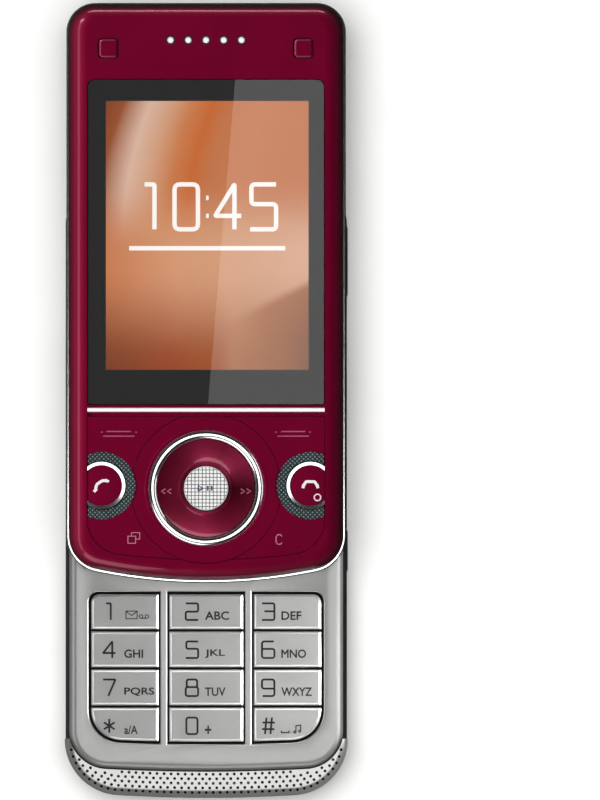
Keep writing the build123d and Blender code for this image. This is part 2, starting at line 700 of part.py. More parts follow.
with BuildPart() as nav_chrome_ring:
    with BuildSketch(nav_plane) as section:
        with BuildLine() as path:
            Line((chrome_inner, cap_low), (chrome_outer, cap_low))
            outer = Line((chrome_outer, cap_low), (chrome_outer, crown_foot))
            inner = Line((chrome_inner, cap_low), (chrome_inner, crown_foot))
            ThreePointArc(inner @ 1, ((chrome_inner + chrome_outer) / 2, thickness), outer @ 1)
        make_face()
    revolve(axis=nav_axis)
save(nav_chrome_ring, "nav_chrome_ring")

with BuildPart() as nav_ring_key:
    lip = ring_inner + 0.7
    lip_top = cap_top + 0.05
    with BuildSketch(nav_plane) as section:
        with BuildLine() as path:
            rim = Polyline((ring_inner, cap_low), (ring_outer, cap_low), (ring_outer, cap_top - 0.1))
            edge = Polyline((ring_inner, cap_low), (ring_inner, lip_top), (lip - 0.2, lip_top))
            slant = Line(edge @ 1, (lip, cap_top - 0.1))
            ThreePointArc(slant @ 1, ((ring_outer + ring_inner) / 2, cap_top - 0.3), rim @ 1)
        make_face()
    revolve(axis=nav_axis)
save(nav_ring_key, "nav_ring_key")

# ---- rubber: sheet under the ring key, with a post for each of its four ways ----
rubber_top = cap_low - 0.25
rubber_low = rubber_top - 0.3
with BuildPart() as nav_rubber:
    with BuildSketch(Plane.XY.offset(rubber_low)):
        with Locations((0, nav_y)):
            Circle(ring_outer - 0.2)
            Circle(ring_inner + 0.2, mode=Mode.SUBTRACT)
    extrude(amount=rubber_top - rubber_low)
    with BuildSketch(Plane.XY.offset(stem_low)):
        with Locations((0, nav_y)):
            with PolarLocations(four_way, 4):
                RegularPolygon(0.9, 8)
    extrude(amount=rubber_low - stem_low)
save(nav_rubber, "nav_rubber")

# ---- select key: round, in the middle of the ring ----
with BuildPart() as select_key:
    disc(0, nav_y, select_radius, (cap_low, thickness - 0.08))
    chamfer(select_key.faces().sort_by(Axis.Z)[-1].edges(), 0.2)
    stub(0, nav_y, call_stem, (stem_low, cap_low))
save(select_key, "select_key")

# ---- game keys: two small square keys beside the earpiece ----
for name, x in (("game_key_left", -game_x), ("game_key_right", game_x)):
    with BuildPart() as game_key:
        half = game_side / 2
        foot = plate_low - 0.6
        block(about(x, half), about(game_y, half), (foot, thickness - 0.02), radius=game_round - seam)
        chamfer(game_key.faces().sort_by(Axis.Z)[-1].edges(), 0.12)
        block(about(x, half + 0.4), about(game_y, half + 0.4), (foot, plate_low - slip))
        stub(x, game_y, 0.8, (stem_low, foot))
    save(game_key, name)

# ---- bright frame: its edge is the chrome line between the shells, its floor carries the board ----
loop_y = ribbon_low + 2.0 + travel / 2   # the ribbon's loop, when the phone is open
ribbon_up = loop_y + travel / 2 + 1.3    # where the ribbon goes up: above the loop at both ends of the stroke
chip_low = (ribbon_up + brow) / 2 - 12.0  # large part on the board's back, midway from there to the high end
panel_half = rail_x - 6.3                # rear panel between the channels
strip_near = rail_x - 3.6                # inner edges of the strips with the slots
surround_half = rail_x - 8.0             # camera's surround
upper_board_half = upper_width / 2 - 4.45
upper_screw_x = (panel_half + strip_near) / 2
upper_screw_spots = [(side * upper_screw_x, y) for side in (-1, 1) for y in (sill + 12.0, brow - 40.0)]
with BuildPart() as upper_chassis:
    slab(upper_outline, 0, frame_sheet, trim_top)
    chamfer(upper_chassis.faces().sort_by(Axis.Z)[-1].edges(), 0.2)
    slab(upper_outline, wall, floor_top, trim_top, Mode.SUBTRACT)
    through = (flank_top, trim_top)
    window_half = panel_half - 3.2
    block(about(0, surround_half - 0.1), (brow - 12.0, brow - 2.6), through, Mode.SUBTRACT, 1)
    block(about(0, window_half), (ribbon_up - 3.0, chip_low - 2.0), through, Mode.SUBTRACT, 2)
    block(about(0, window_half), (sill + 7.0, ribbon_up - 8.0), through, Mode.SUBTRACT, 2)
    for x, y in upper_screw_spots:
        stub(x, y, 0.55, through, Mode.SUBTRACT)
save(upper_chassis, "upper_chassis")

# ---- upper board: its domes, the parts on its back and two ears behind the game keys ----
with BuildPart() as upper_board:
    sheet = (circuit_low, circuit_top)
    dome = (circuit_top, dome_top)
    hanging = (part_low, circuit_low)
    block(about(0, upper_board_half), (sill + 4.6, brow - 12.3), sheet)
    for side in (-1, 1):
        block(span(side, upper_board_half - 5.4, upper_board_half), (brow - 13.0, brow - 5.0), sheet)
        stub(side * game_x, game_y, 1.5, dome)
        for x, y in (*stem_spots, (call_x, call_y)):
            stub(side * x, y, 1.5, dome)
        block(span(side, upper_board_half - 6.2, upper_board_half - 1.2), (sill + 34.0, sill + 44.0), hanging)
    stub(0, nav_y, 1.8, dome)
    for x, y in ((four_way, 0), (-four_way, 0), (0, four_way), (0, -four_way)):
        stub(x, nav_y + y, 1.5, dome)
    block(about(0, window_half - 1.0), (chip_low, chip_low + 12.0), hanging)
    block((-ribbon_half, ribbon_half), (ribbon_up - 1.0, ribbon_up + 2.0), hanging)
save(upper_board, "upper_board")

# ---- upper rear cover: dark back with the camera's surround, two deep channels and the bars' grooves ----
channel_floor = upper_back + 0.46 * flank
panel_high = brow - 12.95
gap_over_panel = 1.7                     # groove between the panel and the camera's surround
glass_half = surround_half - 2.25
glass_span = (brow - 9.7, brow - 3.2)
lens_x = 2.38 - glass_half
lens_y = brow - 7.25
lug_high = shoe_high + travel + 5.0      # ends of the guide bars
lug_low = shoe_low - 3.5
slot_high = lug_high - 0.94
slot_low = lug_low + 0.95
with BuildPart() as upper_rear_cover:
    slab(upper_outline, 0.2, upper_back, flank_top)
    chamfer(upper_rear_cover.faces().sort_by(Axis.Z)[0].edges(), 0.12)
    inside = (upper_back + 0.42 * flank, flank_top + 1)
    block(about(0, panel_half - 1), (sill + 5.0, panel_high - 0.8), inside, Mode.SUBTRACT)
    block(about(0, surround_half - 1), (brow - 10.6, brow - 2.4), inside, Mode.SUBTRACT)
    with BuildSketch(Plane.XY.offset(upper_back - 1)) as seats:
        draw_half(seats, upper_outline, 0.4)
        Rectangle(2 * strip_near, 2 * lower_length, mode=Mode.SUBTRACT)
    extrude(amount=1.4, mode=Mode.SUBTRACT)
    channel = (upper_back - 1, channel_floor)
    for side in (-1, 1):
        block(span(side, panel_half, strip_near), (sill + 8.0, panel_high + 1), channel, Mode.SUBTRACT)
        block(span(side, surround_half, strip_near), (panel_high, brow - 1.6), channel, Mode.SUBTRACT)
        groove = grown(about(side * rail_x, slot_half), seam)
        block(groove, grown((lug_low, lug_high), seam), (upper_back - 1, shoe_top + slip), Mode.SUBTRACT)
    block(about(0, panel_half), (panel_high, panel_high + gap_over_panel), channel, Mode.SUBTRACT)
    glass_seat_z = (upper_back - 1, upper_back + 0.55)
    block(about(0, glass_half + seam), grown(glass_span, seam), glass_seat_z, Mode.SUBTRACT, 2.4)
    disc(lens_x, lens_y, 2.6, (upper_back, flank_top), Mode.SUBTRACT)
    block(about(0, ribbon_half + 0.5), about(ribbon_up, 0.8), (upper_back - 1, flank_top), Mode.SUBTRACT)
    for x, y in upper_screw_spots:
        stub(x, y, 0.55, (upper_back, flank_top + 1), Mode.SUBTRACT)
save(upper_rear_cover, "upper_rear_cover")

# ---- camera: module, and the dark glass over it ----
with BuildPart() as camera_window:
    block(about(0, glass_half), glass_span, (upper_back + 0.02, upper_back + 0.5), radius=2.35)
save(camera_window, "camera_window")

with BuildPart() as camera_module:
    barrel_top = upper_back + 0.79 * flank
    disc(lens_x, lens_y, 2.4, (upper_back + 0.55, barrel_top))
    disc(lens_x, lens_y, 1.5, (upper_back, upper_back + 0.75), Mode.SUBTRACT)
    block(about(lens_x, 3.6), (lens_y - 3.2, lens_y + 4.0), (barrel_top, circuit_top - 0.1))
save(camera_module, "camera_module")

# ---- upper screws: four, up through the channels into the bright frame ----
with BuildPart() as upper_screws:
    for x, y in upper_screw_spots:
        disc(x, y, 1.05, (channel_floor - 0.6, channel_floor))
        stub(x, y, 0.5, (channel_floor, floor_top - seam))
save(upper_screws, "upper_screws")

# ---- slide rails: side strips of the upper half's back, each with its slot and the guide bar in it ----
with BuildPart() as slide_rails:
    with BuildSketch(Plane.XY.offset(upper_back)) as strips:
        draw_half(strips, upper_outline, 0.45)
        Rectangle(2 * (strip_near + slip), 2 * lower_length, mode=Mode.SUBTRACT)
        slot_middle = (slot_low + slot_high) / 2
        with Locations((-rail_x, slot_middle), (rail_x, slot_middle)):
            Rectangle(2 * slot_half, slot_high - slot_low, mode=Mode.SUBTRACT)
    extrude(amount=strip_sheet)
    for side in (-1, 1):
        bar = about(side * rail_x, bar_half)
        bar_end = shoe_high + travel + 0.7
        block(bar, (lug_low, bar_end), (bar_low, bar_top))
        block(bar, (lug_low, shoe_low - 0.4), (bar_low, shoe_top))
        block(bar, (bar_end - 0.4, lug_high), (bar_low + bar_height / 2, shoe_top))
        block(bar, (slot_high + slip, lug_high), (bar_low, shoe_top))
save(slide_rails, "slide_rails")

# ---- slide ribbon: flexible circuit between the boards; its loop rolls in the hollow as the phone opens ----
ribbon_sheet = 0.12
with BuildPart() as slide_ribbon:
    with BuildSketch(Plane.YZ.offset(0.5 - ribbon_half)) as route:
        with BuildLine() as path:
            low_run = face_under + 0.35
            high_run = upper_back - 0.25
            FilletPolyline(
                (ribbon_high + 2.0, board_top + 0.4),
                (ribbon_high + 0.1, board_top + 0.4),
                (ribbon_high + 0.1, low_run),
                (loop_y, low_run),
                (loop_y, high_run),
                (ribbon_up, high_run),
                (ribbon_up, floor_top),
                radius=0.3,
            )
        trace(path.edges(), line_width=ribbon_sheet)
    extrude(amount=2 * ribbon_half - 1)
save(slide_ribbon, "slide_ribbon")
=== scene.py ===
import json
import math

import bmesh
import bpy
from mathutils import Matrix, Vector
from mathutils.bvhtree import BVHTree

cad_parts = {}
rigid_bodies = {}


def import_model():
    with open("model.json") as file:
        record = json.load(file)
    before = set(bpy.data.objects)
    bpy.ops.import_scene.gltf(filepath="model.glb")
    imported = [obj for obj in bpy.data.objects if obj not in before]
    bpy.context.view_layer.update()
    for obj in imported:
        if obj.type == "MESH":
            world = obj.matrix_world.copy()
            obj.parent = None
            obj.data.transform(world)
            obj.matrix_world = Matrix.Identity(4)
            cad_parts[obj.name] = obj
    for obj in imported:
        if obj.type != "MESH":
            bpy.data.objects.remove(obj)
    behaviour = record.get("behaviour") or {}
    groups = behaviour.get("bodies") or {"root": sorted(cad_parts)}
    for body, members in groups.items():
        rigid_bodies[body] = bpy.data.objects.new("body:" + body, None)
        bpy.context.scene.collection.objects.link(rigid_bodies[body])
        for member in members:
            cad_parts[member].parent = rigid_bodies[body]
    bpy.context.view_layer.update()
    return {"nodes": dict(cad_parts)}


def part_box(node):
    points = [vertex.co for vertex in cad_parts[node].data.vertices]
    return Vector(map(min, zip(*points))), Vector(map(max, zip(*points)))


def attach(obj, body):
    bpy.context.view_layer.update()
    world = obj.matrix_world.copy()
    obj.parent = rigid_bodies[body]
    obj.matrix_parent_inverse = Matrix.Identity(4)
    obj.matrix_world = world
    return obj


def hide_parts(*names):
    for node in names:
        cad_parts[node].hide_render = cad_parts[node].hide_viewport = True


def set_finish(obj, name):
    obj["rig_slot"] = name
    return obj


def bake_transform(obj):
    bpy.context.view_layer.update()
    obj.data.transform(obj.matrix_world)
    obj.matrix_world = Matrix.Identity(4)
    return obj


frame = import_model()
node_slots = {name: node.data.materials[0].name for name, node in frame["nodes"].items()}

# Slider phone, open, lying on its back. Sizes are in millimetres, and each piece is scaled to metres
# as it is finished. +Z is out of the screen, +Y towards the earpiece.

# ==== Side frame, side keys and socket ====
# The wall round the lower half is glass-filled plastic with a fine spark-eroded tooth. The volume,
# camera and power keys in it are moulded and lacquered in smoked silver, and the socket is bare black.
MM = 0.001


def screen(red, green, blue):
    """A colour given as a screen shows it, 0 to 255, in the linear values that a shader takes."""
    channels = []
    for value in (red, green, blue):
        share = value / 255
        channels.append(share / 12.92 if share < 0.04045 else ((share + 0.055) / 1.055) ** 2.4)
    return (*channels, 1.0)


def wire(tree, kind, options=None, **sockets):
    """Add a shader node, set its options, and fill its sockets with values or with other sockets."""
    made = tree.nodes.new("ShaderNode" + kind)
    for option, value in (options or {}).items():
        setattr(made, option, value)
    for name, value in sockets.items():
        target = made.inputs[int(name[1:]) if name[1:].isdigit() else name.replace("_", " ")]
        if isinstance(value, bpy.types.NodeSocket):
            tree.links.new(value, target)
        else:
            target.default_value = value
    return made.outputs


def place(tree, x=0.0, y=0.0, z=0.0, stretch=(1, 1, 1)):
    """The piece's own coordinates in millimetres from a point, stretched along each axis."""
    own = wire(tree, "TexCoord")["Object"]
    near = wire(tree, "Mapping", Vector=own, Scale=(1 / MM,) * 3, Location=(-x, -y, -z))["Vector"]
    return wire(tree, "Mapping", Vector=near, Scale=stretch)["Vector"]


def sums(tree, operation, *terms):
    """The result of a sum on up to three values."""
    sockets = {f"_{number}": term for number, term in enumerate(terms)}
    return wire(tree, "Math", {"operation": operation}, **sockets)["Value"]


def spread(tree, value, low, high, kind="LINEAR"):
    """A value's share of the way from a low to a high limit, straight or eased."""
    eased = {"interpolation_type": kind}
    return wire(tree, "MapRange", eased, Value=value, From_Min=low, From_Max=high)["Result"]


def mixed(tree, share, first, second):
    """One colour passing into another as a share rises."""
    return wire(tree, "Mix", {"data_type": "RGBA"}, Factor=share, _6=first, _7=second)[2]


def shades(tree, share, *stops):
    """A run of colours, as (place, colour) pairs, looked up by a share from 0 to 1."""
    ramp = tree.nodes.new("ShaderNodeValToRGB")
    tree.links.new(share, ramp.inputs["Fac"])
    band = ramp.color_ramp
    while len(band.elements) < len(stops):
        band.elements.new(0.5)
    for element, (position, colour) in zip(band.elements, stops):
        element.position = position
        element.color = colour
    return ramp.outputs["Color"]


def tinted(colour, by):
    """The same colour, lighter or darker by a share."""
    return (*(min(1.0, channel * (1 + by)) for channel in colour[:3]), 1.0)


cloud_scale = 0.11           # paint and mouldings drift in colour over about a centimetre
gloss_drift = 0.15


def coating(name, colour, rough, metal=0.0, drift=0.05, tooth=0.0, grain=6.0, **extras):
    """Paint or moulding: colour and gloss that drift a little over a fine tooth, its height in mm."""
    made = bpy.data.materials.new(name)
    made.use_nodes = True
    tree = made.node_tree
    shader = tree.nodes["Principled BSDF"]
    cloud = wire(tree, "TexNoise", Vector=place(tree), Scale=cloud_scale, Detail=3.0)["Fac"]
    fine = wire(tree, "TexNoise", Vector=place(tree), Scale=grain, Detail=2.0)["Fac"]
    depth = sums(tree, "MULTIPLY_ADD", fine, 0.5, cloud)
    colours = shades(tree, depth, (0.55, tinted(colour, -drift)), (0.95, tinted(colour, drift)))
    tree.links.new(colours, shader.inputs["Base Color"])
    finest, coarsest = rough * (1 - gloss_drift), rough * (1 + gloss_drift)
    gloss = wire(tree, "MapRange", Value=fine, To_Min=finest, To_Max=coarsest)["Result"]
    tree.links.new(gloss, shader.inputs["Roughness"])
    shader.inputs["Metallic"].default_value = metal
    if tooth:
        bump = wire(tree, "Bump", Height=fine, Strength=1.0, Distance=tooth * MM)["Normal"]
        tree.links.new(bump, shader.inputs["Normal"])
    for socket, value in extras.items():
        shader.inputs[socket.replace("_", " ").title()].default_value = value
    return made


def dress(finish, *names):
    """Give a finish to nodes that keep their shape."""
    for name in names:
        frame["nodes"][name].material_slots[0].material = finish


frame_plastic = coating("frame_plastic", screen(58, 59, 62), 0.42, drift=0.12, tooth=0.006, grain=9.0)
smoked_silver = coating("smoked_silver", screen(120, 121, 124), 0.3, metal=0.8, tooth=0.002)
socket_black = coating("socket_black", screen(24, 24, 26), 0.5, drift=0.2, tooth=0.01)
dress(frame_plastic, "mid_frame")
dress(smoked_silver, "volume_key", "camera_key", "power_key")
dress(socket_black, "system_connector")

# ==== Back covers ====
# Two thin mouldings sprayed with silver lacquer, the lower one sliding off over the battery and the
# upper one fixed over the antenna. Staggered rows of small dimples are moulded into both, painted
# grey inside as shade.
dimple_radius = 0.25
dimple_depth = 0.26
dimple_step_x = 0.857        # half the spacing along a row
dimple_step_y = 0.861
dimple_columns = 21          # half steps from the middle to the outermost dimple
dimple_half = 18.1           # where the rows end
dimple_top = 30.4
dimple_low = -48.6
antenna_low = 11.3           # the band hides the rows between these two
battery_high = -6.2
corner_cut = 1.4             # how much the end rows give way at the corners
bare_half = 2.6              # plain field down the middle of the battery cover
bare_span = (-34.2, -8.6)
badge_clear = 4.1
cutter_start = -0.5          # below the covers' outer faces


def corners(node):
    """Lowest and highest corner of a node, in millimetres."""
    low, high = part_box(node)
    return low / MM, high / MM


def middle(node):
    """The middle of a node's box, in millimetres."""
    low, high = corners(node)
    return (low + high) / 2


def copied(node):
    """A merged copy of a node's mesh, in millimetres."""
    shape = bmesh.new()
    shape.from_mesh(frame["nodes"][node].data)
    bmesh.ops.scale(shape, vec=(1 / MM,) * 3, verts=shape.verts)
    bmesh.ops.remove_doubles(shape, verts=shape.verts, dist=0.0005)
    return shape


def peg(shape, x, y, low, high, radius, sides=8):
    """Add an upright peg to a shape."""
    at = Matrix.Translation((x, y, (low + high) / 2))
    bmesh.ops.create_cone(
        shape, cap_ends=True, segments=sides, radius1=radius, radius2=radius, depth=high - low, matrix=at
    )


def in_finish(shape, number):
    """Give all of a shape's faces one of its finishes, counted from 0, and hand it on."""
    for face in shape.faces:
        face.material_index = number
    return shape


def cut(shape, cutter, operation="DIFFERENCE"):
    """Cut one shape with another. Faces that the cutter leaves take the second finish."""
    in_finish(cutter, 1)
    pair = []
    for part in (shape, cutter):
        mesh = bpy.data.meshes.new("cutting")
        part.to_mesh(mesh)
        part.free()
        for finish in (frame_plastic, socket_black):
            mesh.materials.append(finish)
        pair.append(bpy.data.objects.new("cutting", mesh))
        bpy.context.scene.collection.objects.link(pair[-1])
    boolean = pair[0].modifiers.new("cut", "BOOLEAN")
    boolean.operation = operation
    boolean.solver = "EXACT"
    boolean.object = pair[1]
    done = bmesh.new()
    done.from_object(pair[0], bpy.context.evaluated_depsgraph_get())
    for part in pair:
        bpy.data.objects.remove(part)
    return done


def add_piece(name, shape, finishes, body, slot, *stands_for, crease=32, even=False):
    """Turn a shape in millimetres into a finished piece that rides on a body, if one is given."""
    bmesh.ops.scale(shape, vec=(MM,) * 3, verts=shape.verts)
    mesh = bpy.data.meshes.new(name)
    shape.to_mesh(mesh)
    shape.free()
    if "custom_normal" in mesh.attributes:
        mesh.attributes.remove(mesh.attributes["custom_normal"])
    mesh.shade_smooth()
    mesh.set_sharp_from_angle(angle=math.radians(crease))
    made = bpy.data.objects.new(name, mesh)
    bpy.context.scene.collection.objects.link(made)
    for finish in finishes:
        mesh.materials.append(finish)
    if even:
        made.modifiers.new("even", "WEIGHTED_NORMAL").keep_sharp = True
    if body:
        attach(made, body)
    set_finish(made, slot)
    if stands_for:
        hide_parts(*stands_for)
    return made


def silver_lacquer(name, colour, rough):
    """Silver metallic lacquer: bright flakes under a thin satin coat, a little darker where handled."""
    made = coating(name, colour, rough, metal=0.55, drift=0.035, tooth=0.0015, grain=14.0, coat_weight=0.25)
    made.node_tree.nodes["Principled BSDF"].inputs["Coat Roughness"].default_value = 0.25
    return made


back_silver = silver_lacquer("back_silver", screen(196, 197, 195), 0.42)
# Painted shade: the dimples' walls and floors are given a dark grey.
dimple_shade = coating("dimple_shade", screen(92, 92, 92), 0.6, drift=0.1)
badge_x, badge_y, _ = middle("cover_badge")

for cover, body, low, high in (
    ("antenna_cover", "lower_half", antenna_low, dimple_top),
    ("battery_cover", "battery_door", dimple_low, battery_high),
):
    dimples = bmesh.new()
    rows = int((dimple_top - dimple_low) / dimple_step_y) + 1
    for row in range(rows):
        y = dimple_top - row * dimple_step_y
        if not low - 0.01 < y < high + 0.01:
            continue
        end = min(y - dimple_low, dimple_top - y) / dimple_step_y
        half = dimple_half - corner_cut * max(0.0, 2.0 - end)
        for column in range(row % 2 - dimple_columns, dimple_columns + 1, 2):
            x = column * dimple_step_x
            plain = abs(x) < bare_half and bare_span[0] < y < bare_span[1]
            if abs(x) > half or plain or math.hypot(x - badge_x, y - badge_y) < badge_clear:
                continue
            peg(dimples, x, y, cutter_start, dimple_depth, dimple_radius)
    dimpled = cut(copied(cover), dimples)
    add_piece(
        "dimpled_" + cover, dimpled, (back_silver, dimple_shade), body, "silver_satin", cover, even=True
    )

# ==== Band, medallion and badge ====
# A strap of black soft-touch rubberised plastic is bent round the back. The medallion in its middle
# and the badge on the cover are turned discs with bevelled rims, left plain.


def turned(profile, x, y, steps=96, ring=False):
    """A turned part: (radius, height) points spun round an upright axis, closed on it or as a ring."""
    shape = bmesh.new()
    spots = [shape.verts.new((x + radius, y, height)) for radius, height in profile]
    pairs = list(zip(spots, spots[1:]))
    if ring:
        pairs.append((spots[-1], spots[0]))
    lines = [shape.edges.new(pair) for pair in pairs]
    bmesh.ops.spin(
        shape, geom=spots + lines, cent=(x, y, 0), axis=(0, 0, 1), angle=math.tau, steps=steps, use_merge=True
    )
    bmesh.ops.remove_doubles(shape, verts=shape.verts, dist=0.0001)
    bmesh.ops.recalc_face_normals(shape, faces=shape.faces)
    return shape


def spun_metal(name, colour, rough, x, y, pitch=0.11, turning=0.75, groove=0.004):
    """Metal turned on a lathe: fine rings round its middle stretch the light into wedges."""
    made = coating(name, colour, rough, metal=1.0, drift=0.03)
    tree = made.node_tree
    shader = tree.nodes["Principled BSDF"]
    rings = wire(
        tree, "TexWave", {"wave_type": "RINGS", "rings_direction": "Z"},
        Vector=place(tree, x, y), Scale=0.314 / pitch, Distortion=0.4, Detail_Scale=0.6,
    )["Fac"]
    bump = wire(tree, "Bump", Height=rings, Strength=1.0, Distance=groove * MM)["Normal"]
    tree.links.new(bump, shader.inputs["Normal"])
    tangent = wire(tree, "Tangent", {"direction_type": "RADIAL", "axis": "Z"})["Tangent"]
    tree.links.new(tangent, shader.inputs["Tangent"])
    shader.inputs["Anisotropic"].default_value = turning
    shader.inputs["Anisotropic Rotation"].default_value = 0.25
    return made


soft_black = coating("soft_black", screen(36, 36, 37), 0.55, drift=0.08, tooth=0.006, grain=11.0)
dress(soft_black, "rear_band")

# Each outline is given from the middle out: a share of the radius, and the height over the lowest face.
for disc, node, body, colour, rough, pitch, steps, outline in (
    ("medallion", "band_medallion", "lower_half", screen(205, 204, 202), 0.3, 0.11, 128,
     ((0, 0.10), (0.76, 0.06), (0.79, 0.03), (0.83, 0), (0.90, 0), (1, 0.25))),
    ("badge", "cover_badge", "battery_door", screen(214, 216, 214), 0.22, 0.08, 96,
     ((0, 0.02), (0.55, 0.05), (0.74, 0.13), (0.78, 0.02), (0.86, 0), (1, 0.2))),
):
    low, high = corners(node)
    x, y, _ = middle(node)
    radius = (high.x - low.x) / 2
    metal = spun_metal(disc + "_metal", colour, rough, x, y, pitch)
    profile = [(share * radius, low.z + height) for share, height in outline]
    profile += [(radius, high.z), (0, high.z)]
    add_piece("turned_" + disc, turned(profile, x, y, steps), (metal,), body, "spun_metal", node)

# ==== Inside the lower half ====
# What the covers hide: the cell in its printed foil, the loudspeaker, the motor with its half-round
# weight, the board with its green mask, the dark silicone keypad mat and the steel screws.
silicone = coating("silicone", screen(40, 41, 43), 0.6, drift=0.06, tooth=0.004)
cell_foil = coating("cell_foil", screen(168, 170, 174), 0.35, metal=0.7, drift=0.1, tooth=0.01, grain=2.5)
part_black = coating("part_black", screen(30, 30, 32), 0.5, drift=0.15, tooth=0.008)
bright_steel = coating("bright_steel", screen(186, 186, 184), 0.25, metal=1.0, drift=0.06, tooth=0.003)
tungsten = coating("tungsten", screen(120, 118, 114), 0.45, metal=1.0, drift=0.1, tooth=0.02, grain=8.0)


def circuit_mask(name, colour):
    """Solder mask over copper: square-cornered tracks show through as lighter lines."""
    made = coating(name, colour, 0.32, drift=0.1, tooth=0.003, coat_weight=0.4)
    tree = made.node_tree
    shader = tree.nodes["Principled BSDF"]
    cells = wire(
        tree, "TexVoronoi", {"distance": "CHEBYCHEV", "feature": "F1"}, Vector=place(tree), Scale=0.55
    )["Distance"]
    track_wide = 0.11
    tracks = spread(tree, sums(tree, "PINGPONG", cells, track_wide), 0.0, track_wide)
    colours = shades(tree, tracks, (0.55, colour), (0.75, tinted(colour, 0.9)))
    tree.links.new(colours, shader.inputs["Base Color"])
    return made


board_green = circuit_mask("board_green", screen(24, 78, 46))
dress(board_green, "main_board", "upper_board")
dress(silicone, "keypad_mat", "nav_rubber")
dress(cell_foil, "battery")
dress(part_black, "loudspeaker", "earpiece_speaker", "camera_module")
dress(bright_steel, "vibration_motor", "lower_screws", "upper_screws", "display_frame")
dress(tungsten, "motor_weight")

# ==== Slide ====
# Pressed steel base on the lower half, dark strips with the guide bars on the upper half, and the
# amber flexible circuit that rolls between them. The strips are drawn along the phone as they run.


def drawn_metal(name, colour, rough, metal=1.0):
    """Sheet drawn lengthwise: long faint scratches along the phone."""
    made = coating(name, colour, rough, metal=metal, drift=0.04)
    tree = made.node_tree
    shader = tree.nodes["Principled BSDF"]
    lines = wire(tree, "TexNoise", Vector=place(tree, stretch=(9, 0.12, 9)), Scale=1.0, Detail=4.0)["Fac"]
    colours = shades(tree, lines, (0.3, tinted(colour, -0.12)), (0.7, tinted(colour, 0.12)))
    tree.links.new(colours, shader.inputs["Base Color"])
    bump = wire(tree, "Bump", Height=lines, Strength=0.6, Distance=0.004 * MM)["Normal"]
    tree.links.new(bump, shader.inputs["Normal"])
    return made


base_steel = drawn_metal("base_steel", screen(178, 178, 176), 0.28)
strip_steel = drawn_metal("strip_steel", screen(98, 98, 100), 0.38, 0.8)
ribbon_amber = coating("ribbon_amber", screen(190, 104, 30), 0.35, drift=0.12, tooth=0.003, coat_weight=0.5)
dress(base_steel, "slide_base")
dress(strip_steel, "slide_rails")

circuit = copied("slide_ribbon")
ribbon = add_piece("flexible_ribbon", circuit, (ribbon_amber,), None, "ribbon_amber", "slide_ribbon")
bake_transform(ribbon)

# ==== Lower front cover ====
# The satin plate round the keypad, moulded and sprayed like the back, a shade lighter. The slopes of
# its three wells are painted dark as shade, and a line painted bright as a highlight is cut round each.
face_silver = silver_lacquer("face_silver", screen(204, 204, 202), 0.4)
# Painted highlight and shade: a near-white line round each well, near black on its slopes.
well_edge_highlight = silver_lacquer("well_edge_highlight", screen(252, 252, 250), 0.2)
well_slope_shade = coating("well_slope_shade", screen(24, 24, 26), 0.5, drift=0.1)
well_rim = 0.13              # width of the bright line round each well
wells_half = 20.6            # where the wells' slopes lie on the plate
wells_span = (-59.5, -31.0)
slope_low = 7.7
slope_high = 7.89


def flat(shape):
    """A shape with the lines across its flat faces dissolved."""
    bmesh.ops.dissolve_limit(shape, angle_limit=0.01, verts=shape.verts, edges=shape.edges)
    return shape


face_plate = flat(copied("lower_front_cover"))
outline = []
for face in face_plate.faces:
    spot = face.calc_center_median()
    in_wells = abs(spot.x) < wells_half and wells_span[0] < spot.y < wells_span[1] and spot.z > slope_low
    if in_wells and 0.6 < face.normal.z < 0.8:
        face.material_index = 2
        outline += [edge for edge in face.edges if min(vert.co.z for vert in edge.verts) > slope_high]
bmesh.ops.bevel(
    face_plate, geom=outline, offset=well_rim, segments=1, affect="EDGES", profile=0.5, material=1
)
add_piece(
    "rimmed_face_plate", face_plate, (face_silver, well_edge_highlight, well_slope_shade), "lower_half", "silver_satin",
    "lower_front_cover", crease=24,
)

# ==== Keypad ====
# Twelve moulded caps in silver lacquer, their sides painted dark as shade in the gaps. Their flat
# tops are satin, their bevels painted lighter as a highlight, and the legends are pad-printed on
# them in dark grey ink a few hundredths thick.
legend_line = 0.33
legend_high = 2.8
legend_wide = 2.1
legend_rise = 1.62           # from the key's low edge to the foot of its number
letter_high = 1.46
ink_thickness = 0.02
key_bevel_wide = 0.36
key_bevel_high = 0.2
key_ease = 0.07              # how far a cap's sides stand back from its place
well_ease = 0.2              # the same for the sides that face the outside of the block
number_left = (2.2, 2.85, 1.45)       # from each column's left edge to its numbers
letters_left = (5.78, 6.1, 4.73)
ink_sunk = 0.004             # how deep a print's foot lies in what it is printed on


def ink(name, colour):
    """Pad-printed ink: nearly flat, its edge and density slightly uneven."""
    return coating(name, colour, 0.55, drift=0.12, tooth=0.002, grain=9.0)


def rounded(points, bend, closed=False):
    """Control points that keep a path's runs straight and round its corners by that much."""
    full = []
    count = len(points)
    for i, point in enumerate(points):
        spot = Vector(point)
        ends = not closed and i in (0, count - 1)
        if not ends:
            before = Vector(points[i - 1]) - spot
            full.append(spot + before.normalized() * min(bend, before.length / 2))
        full.append(spot)
        if not ends:
            after = Vector(points[(i + 1) % count]) - spot
            full.append(spot + after.normalized() * min(bend, after.length / 2))
    return full


